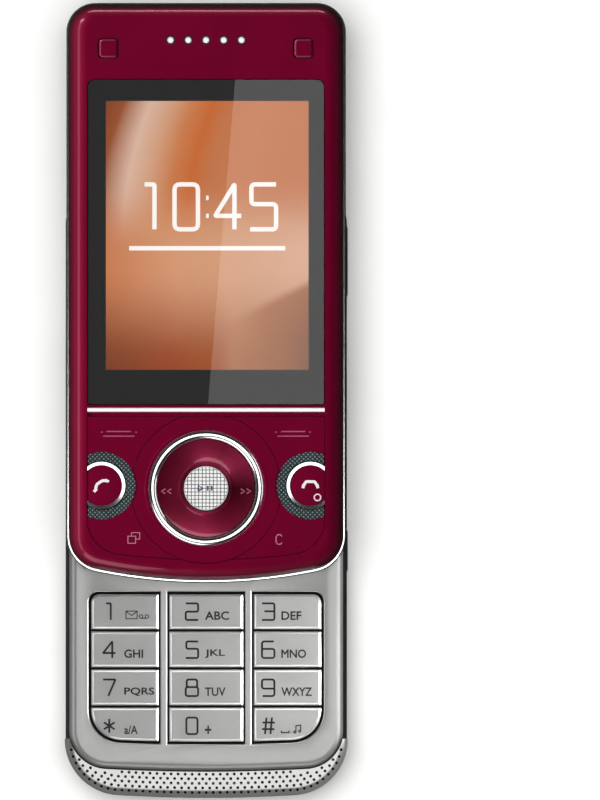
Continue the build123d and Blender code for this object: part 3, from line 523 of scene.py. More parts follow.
def strokes(paths, line, thickness=ink_thickness):
    """Lines of even width along paths of (x, y) points, flattened to a thin print standing on z = 0."""
    curve = bpy.data.curves.new("strokes", "CURVE")
    curve.dimensions = "3D"
    curve.bevel_depth = line / 2
    curve.bevel_resolution = 1
    curve.use_fill_caps = True
    curve.resolution_u = 4
    for points, bend, closed in paths:
        controls = rounded(points, bend, closed) if bend else [Vector(point) for point in points]
        spline = curve.splines.new("NURBS" if bend else "POLY")
        spline.points.add(len(controls) - 1)
        for target, control in zip(spline.points, controls):
            target.co = (control.x, control.y, 0, 1)
        spline.use_cyclic_u = closed
        if bend:
            spline.order_u = 3
            spline.use_endpoint_u = not closed
    holder = bpy.data.objects.new("strokes", curve)
    shape = bmesh.new()
    shape.from_mesh(bpy.data.meshes.new_from_object(holder))
    bpy.data.objects.remove(holder)
    bmesh.ops.scale(shape, vec=(1, 1, thickness / line), verts=shape.verts)
    bmesh.ops.translate(shape, vec=(0, 0, thickness / 2), verts=shape.verts)
    return shape


def sized(paths, wide, high, start=0.0):
    """Stroke paths drawn on a field of one by one, at their real size and with their left edge moved."""
    made = []
    for points, bend, closed in paths:
        made.append(([(start + x * wide, y * high) for x, y in points], bend * wide, closed))
    return made


def ring_path(x, y, radius, sides=12):
    """A closed circle as a stroke path."""
    turns = [math.tau * i / sides for i in range(sides)]
    return ([(x + radius * math.cos(turn), y + radius * math.sin(turn)) for turn in turns], 0.001, True)


def lettering(text, high, wide=None):
    """A line of plain letters as a thin print, its low left corner on the origin."""
    curve = bpy.data.curves.new("letters", "FONT")
    curve.body = text
    curve.bevel_depth = 0.02
    curve.resolution_u = 3
    holder = bpy.data.objects.new("letters", curve)
    shape = bmesh.new()
    shape.from_mesh(bpy.data.meshes.new_from_object(holder))
    bpy.data.objects.remove(holder)
    low = Vector([min(vert.co[axis] for vert in shape.verts) for axis in range(3)])
    size = Vector([max(vert.co[axis] for vert in shape.verts) for axis in range(3)]) - low
    bmesh.ops.translate(shape, vec=-low, verts=shape.verts)
    tall = high / size.y
    bmesh.ops.scale(
        shape, vec=(wide / size.x if wide else tall, tall, ink_thickness / size.z), verts=shape.verts
    )
    return shape


def moved(shape, x, y, z=0.0):
    """Shift a shape, and hand it on."""
    bmesh.ops.translate(shape, vec=(x, y, z), verts=shape.verts)
    return shape


def joined(shapes):
    """Several shapes as one."""
    whole = bmesh.new()
    for shape in shapes:
        mesh = bpy.data.meshes.new("part")
        shape.to_mesh(mesh)
        shape.free()
        whole.from_mesh(mesh)
        bpy.data.meshes.remove(mesh)
    return whole


# Numbers on a field one wide and one high, as (points, bend, closed) with the bend as a share.
number_lines = {
    "1": [([(0.24, 1), (0.62, 1), (0.62, 0)], 0.12, False)],
    "2": [([(0, 1), (1, 1), (1, 0.5), (0, 0.5), (0, 0), (1, 0)], 0.3, False)],
    "3": [([(0, 1), (1, 1), (1, 0), (0, 0)], 0.3, False), ([(0.2, 0.52), (0.95, 0.52)], 0, False)],
    "4": [([(0.74, 0), (0.74, 1), (0, 0.3), (1, 0.3)], 0.1, False)],
    "5": [([(1, 1), (0.05, 1), (0.05, 0.56), (1, 0.56), (1, 0), (0, 0)], 0.3, False)],
    "6": [([(0.95, 1), (0, 1), (0, 0), (1, 0), (1, 0.55), (0.05, 0.55)], 0.42, False)],
    "7": [([(0, 1), (1, 1), (0.42, 0)], 0.16, False)],
    "8": [([(0.08, 1), (0.92, 1), (0.92, 0.54), (0.08, 0.54)], 0.36, True),
          ([(0, 0.54), (1, 0.54), (1, 0), (0, 0)], 0.36, True)],
    "9": [([(0.05, 0), (1, 0), (1, 1), (0, 1), (0, 0.45), (0.95, 0.45)], 0.42, False)],
    "0": [([(0.05, 1), (0.95, 1), (0.95, 0), (0.05, 0)], 0.42, True)],
    "star": [([(0.5, 0.92), (0.5, 0.08)], 0, False), ([(0.933, 0.71), (0.067, 0.29)], 0, False),
             ([(0.933, 0.29), (0.067, 0.71)], 0, False)],
    "hash": [([(0.36, 1), (0.24, 0)], 0, False), ([(0.8, 1), (0.68, 0)], 0, False),
             ([(0, 0.3), (1, 0.3)], 0, False), ([(0.04, 0.7), (1.04, 0.7)], 0, False)],
}
letter_groups = {
    "2": ("ABC", 4.1), "3": ("DEF", 3.4), "4": ("GHI", 3.2), "5": ("JKL", 3.4), "6": ("MNO", 4.2),
    "7": ("PQRS", 5.1), "8": ("TUV", 3.5), "9": ("WXYZ", 5.2), "0": ("+", 1.1), "star": ("a/A", 2.3),
}
envelope = [
    ([(0, 0), (1.9, 0), (1.9, 1.3), (0, 1.3)], 0.06, True),
    ([(0.1, 1.2), (0.95, 0.55), (1.8, 1.2)], 0.05, False),
    ring_path(2.55, 0.38, 0.3), ring_path(3.55, 0.38, 0.3), ([(2.55, 0.08), (3.55, 0.08)], 0, False),
]
space_and_note = [
    ([(0, 0.5), (0, 0.15), (1.3, 0.15), (1.3, 0.5)], 0.08, False),
    ring_path(2.3, 0.25, 0.18), ring_path(3.1, 0.4, 0.18),
    ([(2.47, 0.25), (2.47, 1.3), (3.27, 1.45), (3.27, 0.4)], 0.04, False),
]


def bevelled_cap(node, wide, high, ease):
    """A key's copy with a fresh bevel round its top, drawn in by its left, right, low and high ease."""
    shape = copied(node)
    top = Vector((0, 0, corners(node)[1].z - high))
    whole = shape.verts[:] + shape.edges[:] + shape.faces[:]
    bmesh.ops.bisect_plane(shape, geom=whole, plane_co=top, plane_no=(0, 0, 1), clear_outer=True)
    rim = [edge for edge in shape.edges if edge.is_boundary]
    bmesh.ops.dissolve_degenerate(shape, dist=0.012, edges=rim)
    rim = [edge for edge in shape.edges if edge.is_boundary]
    made = bmesh.ops.contextual_create(shape, geom=rim)["faces"]
    if made[0].normal.z < 0:
        made[0].normal_flip()
    slope = bmesh.ops.inset_region(shape, faces=made, thickness=wide, depth=high, use_even_offset=True)
    # Painted shade on the upright sides, painted highlight on the bevel.
    for face in shape.faces:
        if abs(face.normal.z) < 0.3:
            face.material_index = 2
    for face in slope["faces"]:
        face.material_index = 1
    low, high = corners(node)
    size = high - low
    shrink = [1 - (ease[0] + ease[1]) / size.x, 1 - (ease[2] + ease[3]) / size.y, 1]
    bmesh.ops.scale(shape, vec=shrink, verts=shape.verts, space=Matrix.Translation(-low))
    moved(shape, ease[0], ease[2])
    bmesh.ops.recalc_face_normals(shape, faces=shape.faces)
    return shape


middle_low, middle_high = corners("key_5")
key_silver = silver_lacquer("key_silver", screen(200, 200, 198), 0.36)
# A lighter copy of the key silver as painted highlight for the bevels, near black as painted shade for the
# sides.
key_bevel = silver_lacquer("key_bevel", screen(248, 248, 246), 0.2)
key_side_shade = coating("key_side_shade", screen(26, 26, 28), 0.6, drift=0.1)
legend_ink = ink("legend_ink", screen(52, 52, 54))
for rank, row in enumerate((("1", "2", "3"), ("4", "5", "6"), ("7", "8", "9"), ("star", "0", "hash"))):
    for column, sign in enumerate(row):
        key = "key_" + sign
        outside = (column == 0, column == 2, rank == 3, rank == 0)
        ease = [well_ease if outer else key_ease for outer in outside]
        cap = bevelled_cap(key, key_bevel_wide, key_bevel_high, ease)
        add_piece(key + "_cap", cap, (key_silver, key_bevel, key_side_shade), key, "key_silver", key, crease=20)
        low, high = corners(key)
        foot = high.y - (middle_high.y - middle_low.y) + legend_rise
        left = corners("key_2")[0].x if column == 1 else low.x
        beside = left + letters_left[column]
        number = strokes(sized(number_lines[sign], legend_wide, legend_high), legend_line)
        shapes = [moved(number, left + number_left[column], foot)]
        if sign in letter_groups:
            text, wide = letter_groups[sign]
            shapes.append(moved(lettering(text, letter_high, wide), beside, foot))
        if sign == "1":
            shapes.append(moved(strokes(envelope, 0.16), beside + 0.3, foot + 0.2))
        if sign == "hash":
            shapes.append(moved(strokes(space_and_note, 0.2), beside, foot + 0.1))
        legend = moved(joined(shapes), 0, 0, middle_high.z - ink_sunk)
        add_piece("legend_" + sign, legend, (legend_ink,), key, "part_black")

# ==== Speaker grille ====
# The bright strip that closes the chin. Fine holes are pierced in staggered rows that follow its
# bowed edge and run out as the strip narrows round the corners. Their walls are painted dark as shade.
pierce_radius = 0.26
pierce_pitch = 1.19
pierce_rows = (0.95, 1.72, 2.49, 3.26, 4.03)      # in from the outer edge
edge_bow = 1.2
edge_round = 9.5
face_bow = 0.9
face_round = 6.5
pierce_clear = 0.42          # metal left beside the front cover's edge
pierce_end = 0.6             # and at the strip's ends
pierce_deep = 1.0
pierce_steps = 30            # more than enough to run round both corners

grille_low, grille_high = corners("speaker_grille")
face_low, face_high = corners("lower_front_cover")
half_wide = grille_high.x


def bow(x, half, rise):
    """How far a bowed end has risen at that distance from its middle."""
    return rise * (x / half) ** 2


def along_edge(distance, inset):
    """Where one gets, that far along the chin's edge from its middle and that far inside it."""
    straight = half_wide - edge_round
    corner_y = grille_low.y + bow(straight, half_wide, edge_bow) + edge_round
    radius = edge_round - inset
    side = math.copysign(1, distance)
    turn = (abs(distance) - straight) / radius
    if turn < 0:
        return distance, grille_low.y + bow(distance, half_wide, edge_bow) + inset
    if turn < math.pi / 2:
        return side * (straight + radius * math.sin(turn)), corner_y - radius * math.cos(turn)
    return side * (half_wide - inset), corner_y + (turn - math.pi / 2) * radius


def off_face(x, y):
    """How far a point lies outside the front cover's bowed edge."""
    straight = face_high.x - face_round
    if abs(x) < straight:
        return face_low.y + bow(x, face_high.x, face_bow) - y
    corner_y = face_low.y + bow(straight, face_high.x, face_bow) + face_round
    return math.hypot(abs(x) - straight, y - corner_y) - face_round if y < corner_y else abs(x) - face_high.x


grille_silver = silver_lacquer("grille_silver", screen(226, 226, 224), 0.3)
# Painted shade: near black on the walls of the holes.
grille_hole_shade = coating("grille_hole_shade", screen(18, 18, 19), 0.7, drift=0.1)
holes = bmesh.new()
for row, inset in enumerate(pierce_rows):
    for step in range(-pierce_steps, pierce_steps + 1):
        x, y = along_edge((step + 0.5 * (row % 2)) * pierce_pitch, inset)
        if off_face(x, y) > pierce_clear and y < grille_high.y - pierce_end:
            peg(holes, x, y, grille_high.z - pierce_deep, grille_high.z + 0.5, pierce_radius)
add_piece(
    "pierced_grille", cut(copied("speaker_grille"), holes), (grille_silver, grille_hole_shade), "lower_half",
    "grille_silver", "speaker_grille", even=True,
)

# ==== Bright frame of the upper half ====
# Vacuum-plated chrome on a moulded frame, whose edge shows as a bright line between the two shells.
# Its floor, under the keys and the window, is painted dark as shade for the gaps over it.
plated_chrome = coating("plated_chrome", screen(232, 232, 234), 0.16, metal=1.0, drift=0.02, tooth=0.001)
# Painted shade: near black for the floor seen through the gaps.
frame_floor_shade = coating("frame_floor_shade", screen(20, 20, 21), 0.6, drift=0.1)
pocket_half = 20.9           # the floor painted dark as shade, a hair lower than the plated one
pocket_span = (-27.4, 60.0)
pocket_corner = 6.5
pocket_round = 13.2          # round the ring keys, where it reaches lower
pocket_deep = 0.02
rim_high = 0.25              # how far the frame's rim stands above its floor


def plate(x, y, z):
    """A flat block given by its limits."""
    shape = bmesh.new()
    bmesh.ops.create_cube(shape, size=1)
    bmesh.ops.scale(shape, vec=(x[1] - x[0], y[1] - y[0], z[1] - z[0]), verts=shape.verts)
    return moved(shape, sum(x) / 2, sum(y) / 2, sum(z) / 2)


def round_corners(shape, radius, segments):
    """Round a block's upright edges."""
    upright = [edge for edge in shape.edges if abs(edge.verts[0].co.z - edge.verts[1].co.z) > 0.01]
    bmesh.ops.bevel(
        shape, geom=upright, offset=radius, segments=segments, affect="EDGES", profile=0.5, material=-1
    )
    return shape


nav_x, nav_y, _ = middle("nav_chrome_ring")
frame_floor = corners("upper_chassis")[1].z - rim_high
pocket = plate((-pocket_half, pocket_half), pocket_span, (frame_floor - pocket_deep, frame_floor + 1))
pocket = round_corners(pocket, pocket_corner, 6)
bulge = bmesh.new()
peg(bulge, nav_x, nav_y, frame_floor - pocket_deep, frame_floor + 1, pocket_round, 64)
half_plated = cut(cut(copied("upper_chassis"), pocket), bulge)
plated_frame = add_piece(
    "plated_frame", half_plated, (plated_chrome, frame_floor_shade), "upper_half", "chrome", "upper_chassis",
    even=True,
)
dress(plated_chrome, "nav_chrome_ring")

# ==== Back of the upper half ====
# Dark moulded cover with a panel of fine ribs turned about one centre, two darker arcs among them, a
# lined surround and a smoked glass over the camera, left without lettering.
rib_pitch = 0.78
rib_depth = 0.11
rib_centre = (0.1, 15.1)
rib_reach = 52.0
dark_arcs = (27.5, 36.8)
arc_half = 1.0
arc_fade = 0.008             # as a share of the ribs' reach
panel_half = 15.1
panel_span = (-21.0, 54.3)

back_low = corners("upper_rear_cover")[0]


def ribbed_plastic(name, colour):
    """Dark lacquer, with the two matt arcs sprayed over the ribs."""
    made = coating(name, colour, 0.36, metal=0.35, drift=0.05, tooth=0.003)
    tree = made.node_tree
    shader = tree.nodes["Principled BSDF"]
    away = wire(tree, "VectorMath", {"operation": "LENGTH"}, _0=place(tree, *rib_centre, back_low.z))["Value"]
    dark = tinted(colour, -0.7)
    stops = [(0.0, colour)]
    for radius in dark_arcs:
        near = (radius - arc_half) / rib_reach
        far = (radius + arc_half) / rib_reach
        stops += [(near - arc_fade, colour), (near, dark), (far, dark), (far + arc_fade, colour)]
    banded = shades(tree, spread(tree, away, 0.0, rib_reach), *stops)
    tree.links.new(banded, shader.inputs["Base Color"])
    return made


rear_plastic = coating("rear_plastic", screen(66, 66, 68), 0.36, metal=0.35, drift=0.06, tooth=0.003)
dress(rear_plastic, "upper_rear_cover")
rib_plastic = ribbed_plastic("rib_plastic", screen(74, 74, 76))

profile = [(1.0, back_low.z - 0.005)]
for rib in range(1, int(rib_reach / rib_pitch)):
    profile.append((rib * rib_pitch, back_low.z - rib_depth))
    profile.append((rib * rib_pitch + 0.5 * rib_pitch, back_low.z - 0.02))
profile += [(rib_reach, back_low.z - 0.005)]
ribs = turned(profile, *rib_centre, steps=96, ring=True)
panel = plate((-panel_half, panel_half), panel_span, (back_low.z - 0.5, back_low.z + 0.5))
ribs = in_finish(cut(ribs, panel, "INTERSECT"), 0)
add_piece("ribbed_panel", ribs, (rib_plastic,), "upper_half", "back_plastic", crease=20)

barrel_x = corners("camera_module")[0].x + 3.6       # the lens stands at one end of the window
barrel_y = middle("camera_window").y + 0.8
smoked_glass = coating("smoked_glass", screen(40, 40, 42), 0.04, drift=0.02, coat_weight=1.0)
smoked_glass.node_tree.nodes["Principled BSDF"].inputs["Transmission Weight"].default_value = 0.85
dress(smoked_glass, "camera_window")
lens_coating = coating("lens_coating", screen(20, 22, 40), 0.03, drift=0.3, coat_weight=1.0)
lens = turned(
    ((0, back_low.z + 0.56), (0.7, back_low.z + 0.6), (1.3, back_low.z + 0.72), (1.3, back_low.z + 0.8),
     (0, back_low.z + 0.8)),
    barrel_x, barrel_y, 48,
)
add_piece("camera_lens", lens, (lens_coating,), "upper_half", "lens_glass")

# ==== Red cover, island and plates ====
# The front of the upper half is moulded in red and clear-coated: deep metallic crimson with fine
# flakes. The plates of the function keys and the island between them are sprayed from the same pot.


def grey(level):
    """An even grey of that linear strength."""
    return (level, level, level, 1.0)


def red_lacquer(name, colour=screen(168, 9, 66), rough=0.3):
    """Candy red: metallic flake under tinted clear coat, darkened as painted shade where it turns away."""
    made = coating(name, colour, rough, metal=0.35, drift=0.06, grain=16.0)
    shader = made.node_tree.nodes["Principled BSDF"]
    shader.inputs["Specular IOR Level"].default_value = 0.3
    shader.inputs["Coat Weight"].default_value = 1.0
    shader.inputs["Coat Roughness"].default_value = 0.08
    tree = made.node_tree
    paint = shader.inputs["Base Color"].links[0].from_socket
    # Painted shade, going beyond the tint's own flop: the colour falls to a tenth where the surface turns
    # away from the view.
    facing = wire(tree, "LayerWeight", Blend=0.5)["Facing"]
    deep = shades(tree, facing, (0.1, grey(0)), (0.4, grey(0.45)), (0.65, grey(0.9)))
    tree.links.new(mixed(tree, deep, paint, tinted(colour, -0.9)), shader.inputs["Base Color"])
    return made


red_gloss = red_lacquer("red_gloss")
dress(red_gloss, "upper_front_cover", "left_key_plate", "right_key_plate", "nav_island")

# ==== Game keys ====
# Two square red keys beside the earpiece. A groove round a raised pad on each is painted dark as shade,
# and the pad's slopes facing along the phone are painted lighter as a highlight.
pad_corner = 0.95
groove_rim = 0.1
groove_wide = 0.24
groove_deep = 0.3
pad_step = 0.12              # how far the pad's side stands up before its slope
pad_slope = 0.28
pad_drop = 0.04              # how far its top lies under the key's

# A lighter red as painted highlight for the pad's slopes, near black as painted shade for the groove.
pad_slope_highlight = red_lacquer("pad_slope_highlight", screen(206, 70, 118), 0.35)
groove_shade = coating("groove_shade", screen(26, 6, 12), 0.5, drift=0.1)
for side in ("left", "right"):
    node = "game_key_" + side
    low, high = corners(node)
    pad = round_corners(plate((low.x, high.x), (low.y, high.y), (low.z, high.z)), pad_corner, 5)
    top_face = max(pad.faces, key=lambda face: face.calc_center_median().z)
    steps = (
        (groove_rim, 0, 0), (groove_wide, -groove_deep, 1), (0.02, pad_step, 0),
        (pad_slope, groove_deep - pad_step - pad_drop, 2),
    )
    for thickness, depth, finish in steps:
        slope = bmesh.ops.inset_region(
            pad, faces=[top_face], thickness=thickness, depth=depth, use_even_offset=True
        )
        for face in slope["faces"]:
            face.material_index = finish
    # Only the slopes facing along the phone keep the painted highlight; the side slopes go back to plain red.
    for face in pad.faces:
        if face.material_index == 2 and abs(face.normal.x) > abs(face.normal.y):
            face.material_index = 0
    add_piece(node + "_pad", pad, (red_gloss, groove_shade, pad_slope_highlight), node, "red_gloss", node, crease=20)

# ==== Display ====
# Under the window lie a black printed border and the panel with its lit picture: soft orange folds
# and a plain clock. The window is clear glass.
border_inset = 0.06
screen_span_x = (-16.93, 17.34)
screen_span_y = (5.26, 50.7)
border_gap = 0.15            # between the picture and the border
border_depth = 0.018         # the border's lower and upper face, under the glass
border_lift = 0.004
picture_lift = 0.03

glass_low, glass_high = corners("display_window")
panel_top = corners("display_module")[1].z


def lit_picture(name):
    """The panel's own light: folds of warm orange, lighter in the middle and dark brown at the foot."""
    made = bpy.data.materials.new(name)
    made.use_nodes = True
    tree = made.node_tree
    shader = tree.nodes["Principled BSDF"]
    shader.inputs["Base Color"].default_value = screen(20, 12, 8)
    shader.inputs["Roughness"].default_value = 0.4
    half_wide = (screen_span_x[1] - screen_span_x[0]) / 2
    half_high = (screen_span_y[1] - screen_span_y[0]) / 2
    centre = (sum(screen_span_x) / 2, sum(screen_span_y) / 2, 0)
    field = wire(tree, "SeparateXYZ", Vector=place(tree, *centre, (1 / half_wide, 1 / half_high, 0)))
    across = field["X"]
    up = field["Y"]
    # The folds lean over, and more so towards both ends.
    lean = sums(tree, "MULTIPLY_ADD", sums(tree, "MULTIPLY", up, up), -0.28, across)
    silk = shades(
        tree, spread(tree, lean, -1.35, 0.65), (0.0, screen(118, 42, 0)), (0.13, screen(148, 70, 14)),
        (0.26, screen(220, 180, 158)), (0.36, screen(212, 158, 124)), (0.47, screen(202, 120, 66)),
        (0.57, screen(200, 98, 28)), (0.66, screen(194, 112, 62)), (0.8, screen(198, 118, 70)),
        (1.0, screen(194, 112, 62)),
    )
    level = spread(tree, across, -1.0, 1.0)
    blush = shades(
        tree, level, (0.0, screen(202, 120, 72)), (0.35, screen(216, 152, 112)),
        (0.7, screen(214, 158, 122)), (1.0, screen(218, 166, 138)),
    )
    foot = shades(
        tree, level, (0.0, screen(122, 50, 2)), (0.3, screen(150, 60, 0)), (0.55, screen(158, 74, 10)),
        (0.63, screen(172, 106, 60)), (0.85, screen(154, 94, 54)), (1.0, screen(128, 76, 44)),
    )
    colours = mixed(tree, spread(tree, up, 0.5, -0.2, "SMOOTHERSTEP"), silk, blush)
    # A tan shadow falls across the lower right along a slanting edge.
    slant = sums(tree, "MULTIPLY_ADD", across, -0.377, up)
    below = sums(tree, "SUBTRACT", 1.0, spread(tree, slant, -0.78, -0.68, "SMOOTHSTEP"))
    shadow = sums(tree, "MULTIPLY", below, spread(tree, across, 0.1, 0.6))
    colours = mixed(tree, shadow, colours, mixed(tree, 0.55, foot, screen(186, 116, 72)))
    colours = mixed(tree, spread(tree, up, -0.2, -1.0, "SMOOTHSTEP"), colours, foot)
    tree.links.new(colours, shader.inputs["Emission Color"])
    shader.inputs["Emission Strength"].default_value = 1.0
    return made


border_print = coating("border_print", screen(37, 38, 36), 0.5, drift=0.1)
border = plate(
    (glass_low.x + border_inset, glass_high.x - border_inset),
    (glass_low.y + border_inset, glass_high.y - border_inset),
    (glass_low.z - border_depth, glass_low.z - border_lift),
)
opening = plate(
    (screen_span_x[0] - border_gap, screen_span_x[1] + border_gap),
    (screen_span_y[0] - border_gap, screen_span_y[1] + border_gap),
    (glass_low.z - 1, glass_low.z + 1),
)
border = in_finish(cut(border, opening), 0)
add_piece("window_border", border, (border_print,), "upper_half", "part_black")

picture = plate(screen_span_x, screen_span_y, (panel_top + 0.005, panel_top + picture_lift))
add_piece("lit_screen", picture, (lit_picture("lit_picture"),), "upper_half", "display")
panel_grey = coating("panel_grey", screen(70, 72, 74), 0.3, drift=0.05)
dress(panel_grey, "display_module")

clock_line = 0.74
clock_high = 7.6
clock_wide = 4.4
clock_y = 29.0
clock_gap = 1.5              # between two signs
clock_split = 1.2            # more room in the middle, for the dots
clock_rule = (13.2, -3.2)    # the line under the clock: half its length, and its height


def lit_white(name):
    """White of the lit panel, a trifle warm."""
    made = coating(name, screen(230, 228, 224), 0.5)
    shader = made.node_tree.nodes["Principled BSDF"]
    shader.inputs["Emission Color"].default_value = screen(255, 250, 246)
    shader.inputs["Emission Strength"].default_value = 0.95
    return made


rule_half, rule_y = clock_rule
clock_paths = [([(-rule_half, rule_y), (rule_half, rule_y)], 0, False)]
cursor = -(4 * clock_wide + 3 * clock_gap + clock_split) / 2
for sign in "1045":
    if sign == "4":
        cursor += clock_split
    clock_paths += sized(number_lines[sign], clock_wide, clock_high, cursor)
    cursor += clock_wide + clock_gap
for y in (0.3 * clock_high, 0.7 * clock_high):
    clock_paths.append(([(-0.2, y), (0.25, y)], 0, False))
clock = moved(strokes(clock_paths, clock_line), sum(screen_span_x) / 2, clock_y, panel_top + picture_lift)
add_piece("screen_clock", clock, (lit_white("lit_white"),), "upper_half", "display")

window_glass = bpy.data.materials.new("window_glass")
window_glass.use_nodes = True
glass_tree = window_glass.node_tree
glass_shader = glass_tree.nodes["Principled BSDF"]
glass_shader.inputs["Transmission Weight"].default_value = 1.0
glass_shader.inputs["IOR"].default_value = 1.45
smears = wire(glass_tree, "TexNoise", Vector=place(glass_tree), Scale=0.25, Detail=3.0)["Fac"]
clear = shades(glass_tree, smears, (0.3, (0.97, 0.98, 0.98, 1)), (0.7, (1, 1, 1, 1)))
glass_tree.links.new(clear, glass_shader.inputs["Base Color"])
glass_shader.inputs["Roughness"].default_value = 0.0
glass = add_piece(
    "window_pane", flat(copied("display_window")), (window_glass,), "upper_half", "window_glass",
    "display_window", crease=15,
)

# ==== Trim bar and earpiece ====
# The bar between window and keys is a satin moulding painted near white, a painted sheen standing in for
# its plating's reflection. The five domed studs in the holes over the earpiece get the same paint, on a
# strip painted dark as shade.
# Painted sheen: near white in place of the plated bar's reflection.
trim_sheen = coating("trim_sheen", screen(253, 253, 254), 0.3, metal=0.2, drift=0.02)
dress(trim_sheen, "key_trim_bar")

stud_radius = 0.52
stud_rise = 0.1
stud_pitch = 3.0
stud_root = 0.1              # how deep a stud stands in the strip
# Painted shade: the strip seen round the studs is given a dark red-brown.
stud_strip_shade = coating("stud_strip_shade", screen(34, 12, 18), 0.5, drift=0.1)
grille_top = corners("earpiece_grille")[1].z
stud_x, stud_y, _ = middle("earpiece_grille")
studs = [copied("earpiece_grille")]
for step in range(-2, 3):
    stud = turned(
        ((0, grille_top + stud_rise), (0.6 * stud_radius, grille_top + 0.8 * stud_rise),
         (stud_radius, grille_top), (stud_radius, grille_top - stud_root), (0, grille_top - stud_root)),
        stud_x + step * stud_pitch, stud_y, 24,
    )
    studs.append(in_finish(stud, 1))
studs = joined(studs)
add_piece("earpiece_studs", studs, (stud_strip_shade, trim_sheen), "upper_half", "chrome", "earpiece_grille")

# ==== Call keys and their inserts ====
# Each round key is a domed red cap in a chromed rim. Round it lies an insert of dark metal, knurled
# across in small pyramids.
knurl_pitch = 0.52
knurl_height = 0.22
knurl_slope = 0.19
halo_reach = 6.4             # radius of the knurling
cap_reach = 4.1              # from a cap's rounded side to its middle
cap_foot = 1.2               # how far rim and cap go down
stem_radius = 1.0
rim_wide = 0.75
rim_fall = 0.09              # how far the rim's top falls outwards

knurl_dark = coating("knurl_dark", screen(122, 136, 138), 0.35, metal=0.8, drift=0.12, tooth=0.003)
sign_white = coating("sign_white", screen(246, 240, 242), 0.5, drift=0.03)
handset = {
    "call": [([(-1.05, -0.80), (-0.85, 0.20), (0.15, 0.86), (1.05, 0.80)], 0.5, False)],
    "end": [([(-1.2, -0.1), (-0.75, 0.68), (0.75, 0.68), (1.2, -0.1)], 0.5, False)],
}
handset_ends = {
    "call": [([(-1.25, -0.62), (-0.88, -0.95)], 0, False), ([(0.82, 0.62), (1.02, 1.02)], 0, False)],
    "end": [([(-1.42, -0.02), (-0.95, -0.16)], 0, False), ([(1.42, -0.02), (0.95, -0.16)], 0, False)],
}
power_ring = [ring_path(1.2, -2.0, 0.55, 16)]


def laid_on(prints, surface):
    """Lower a print onto a surface, each point by as much as the surface lies there."""
    ground = BVHTree.FromBMesh(surface)
    for vert in prints.verts:
        hit = ground.ray_cast(Vector((vert.co.x, vert.co.y, 50)), Vector((0, 0, -1)))[0]
        if hit:
            vert.co.z += hit.z - ink_sunk
    return prints


for side, call in ((-1, "call"), (1, "end")):
    cap_low, cap_high = corners(call + "_key")
    cap_x = cap_low.x + cap_reach if side > 0 else cap_high.x - cap_reach
    cap_y = (cap_low.y + cap_high.y) / 2
    radius = (cap_high.y - cap_low.y) / 2
    inner = radius - rim_wide
    top = cap_high.z
    body = call + "_key"
    rim = turned(
        ((inner, top - cap_foot), (inner, top - 0.25), (inner + 0.08, top - 0.04), (inner + 0.14, top),
         (radius - 0.1, top - rim_fall), (radius, top - 0.24), (radius, top - cap_foot)),
        cap_x, cap_y, ring=True,
    )
    dome = turned(
        ((0, top - 0.03), (0.4 * inner, top - 0.05), (0.75 * inner, top - 0.12), (inner, top - 0.24),
         (inner, top - cap_foot), (0, top - cap_foot)),
        cap_x, cap_y,
    )
    signs = [laid_on(moved(strokes(handset[call], 0.48), cap_x, cap_y), dome)]
    signs.append(laid_on(moved(strokes(handset_ends[call], 0.7), cap_x, cap_y), dome))
    if side > 0:
        signs.append(laid_on(moved(strokes(power_ring, 0.2), cap_x, cap_y), dome))
    add_piece(body + "_sign", joined(signs), (sign_white,), body, "silver_satin")
    trimmed = []
    for part in (rim, dome):
        field = plate((cap_low.x, cap_high.x), (cap_low.y - 1, cap_high.y + 1), (top - 3, top + 1))
        trimmed.append(in_finish(cut(part, field, "INTERSECT"), 0))
    stem = bmesh.new()
    peg(stem, cap_x, cap_y, cap_low.z, top - cap_foot + 0.05, stem_radius)
    add_piece(body + "_rim", trimmed[0], (plated_chrome,), body, "chrome")
    add_piece(body + "_cap", joined([trimmed[1], stem]), (red_gloss,), body, "red_gloss", body)

    halo = call + "_key_halo"
    cells = int(2 * halo_reach / knurl_pitch)
    knurl = bmesh.new()
    bmesh.ops.create_grid(knurl, x_segments=cells, y_segments=cells, size=halo_reach)
    for face in knurl.faces[:]:
        if not radius - 0.5 < face.calc_center_median().length < halo_reach - 0.1:
            knurl.faces.remove(face)
    bmesh.ops.delete(knurl, geom=[vert for vert in knurl.verts if not vert.link_faces], context="VERTS")
    bmesh.ops.inset_individual(knurl, faces=knurl.faces[:], thickness=knurl_slope, depth=knurl_height)
    skin = bmesh.ops.extrude_face_region(knurl, geom=knurl.faces[:])
    lower = [item for item in skin["geom"] if isinstance(item, bmesh.types.BMVert)]
    for vert in lower:
        vert.co.z = -0.5
    bmesh.ops.recalc_face_normals(knurl, faces=knurl.faces)
    bmesh.ops.rotate(knurl, cent=(0, 0, 0), matrix=Matrix.Rotation(math.pi / 4, 3, "Z"), verts=knurl.verts)
    moved(knurl, cap_x, cap_y, corners(halo)[1].z - knurl_height - 0.01)
    knurled = in_finish(cut(copied(halo), knurl, "INTERSECT"), 0)
    carrier = "left_rocker" if side < 0 else "right_rocker"
    add_piece(halo + "_knurl", knurled, (knurl_dark,), carrier, "halo_dark", halo, crease=10)

# ==== Navigation keys ====
# A polished chrome ring stands round the red ring key, which is turned in fine circles under its
# lacquer, with light and dark wedges painted into its colour as highlight and shade. The silver
# select key has a fine grid cut into it, its grooves painted grey as shade.
grid_pitch = 0.62
grid_line = 0.13
grid_depth = 0.08

ring_red = spun_metal("ring_red", screen(138, 10, 48), 0.36, nav_x, nav_y, 0.16, 0.8, 0.003)
ring_tree = ring_red.node_tree
ring_shader = ring_tree.nodes["Principled BSDF"]
ring_place = place(ring_tree, nav_x, nav_y)
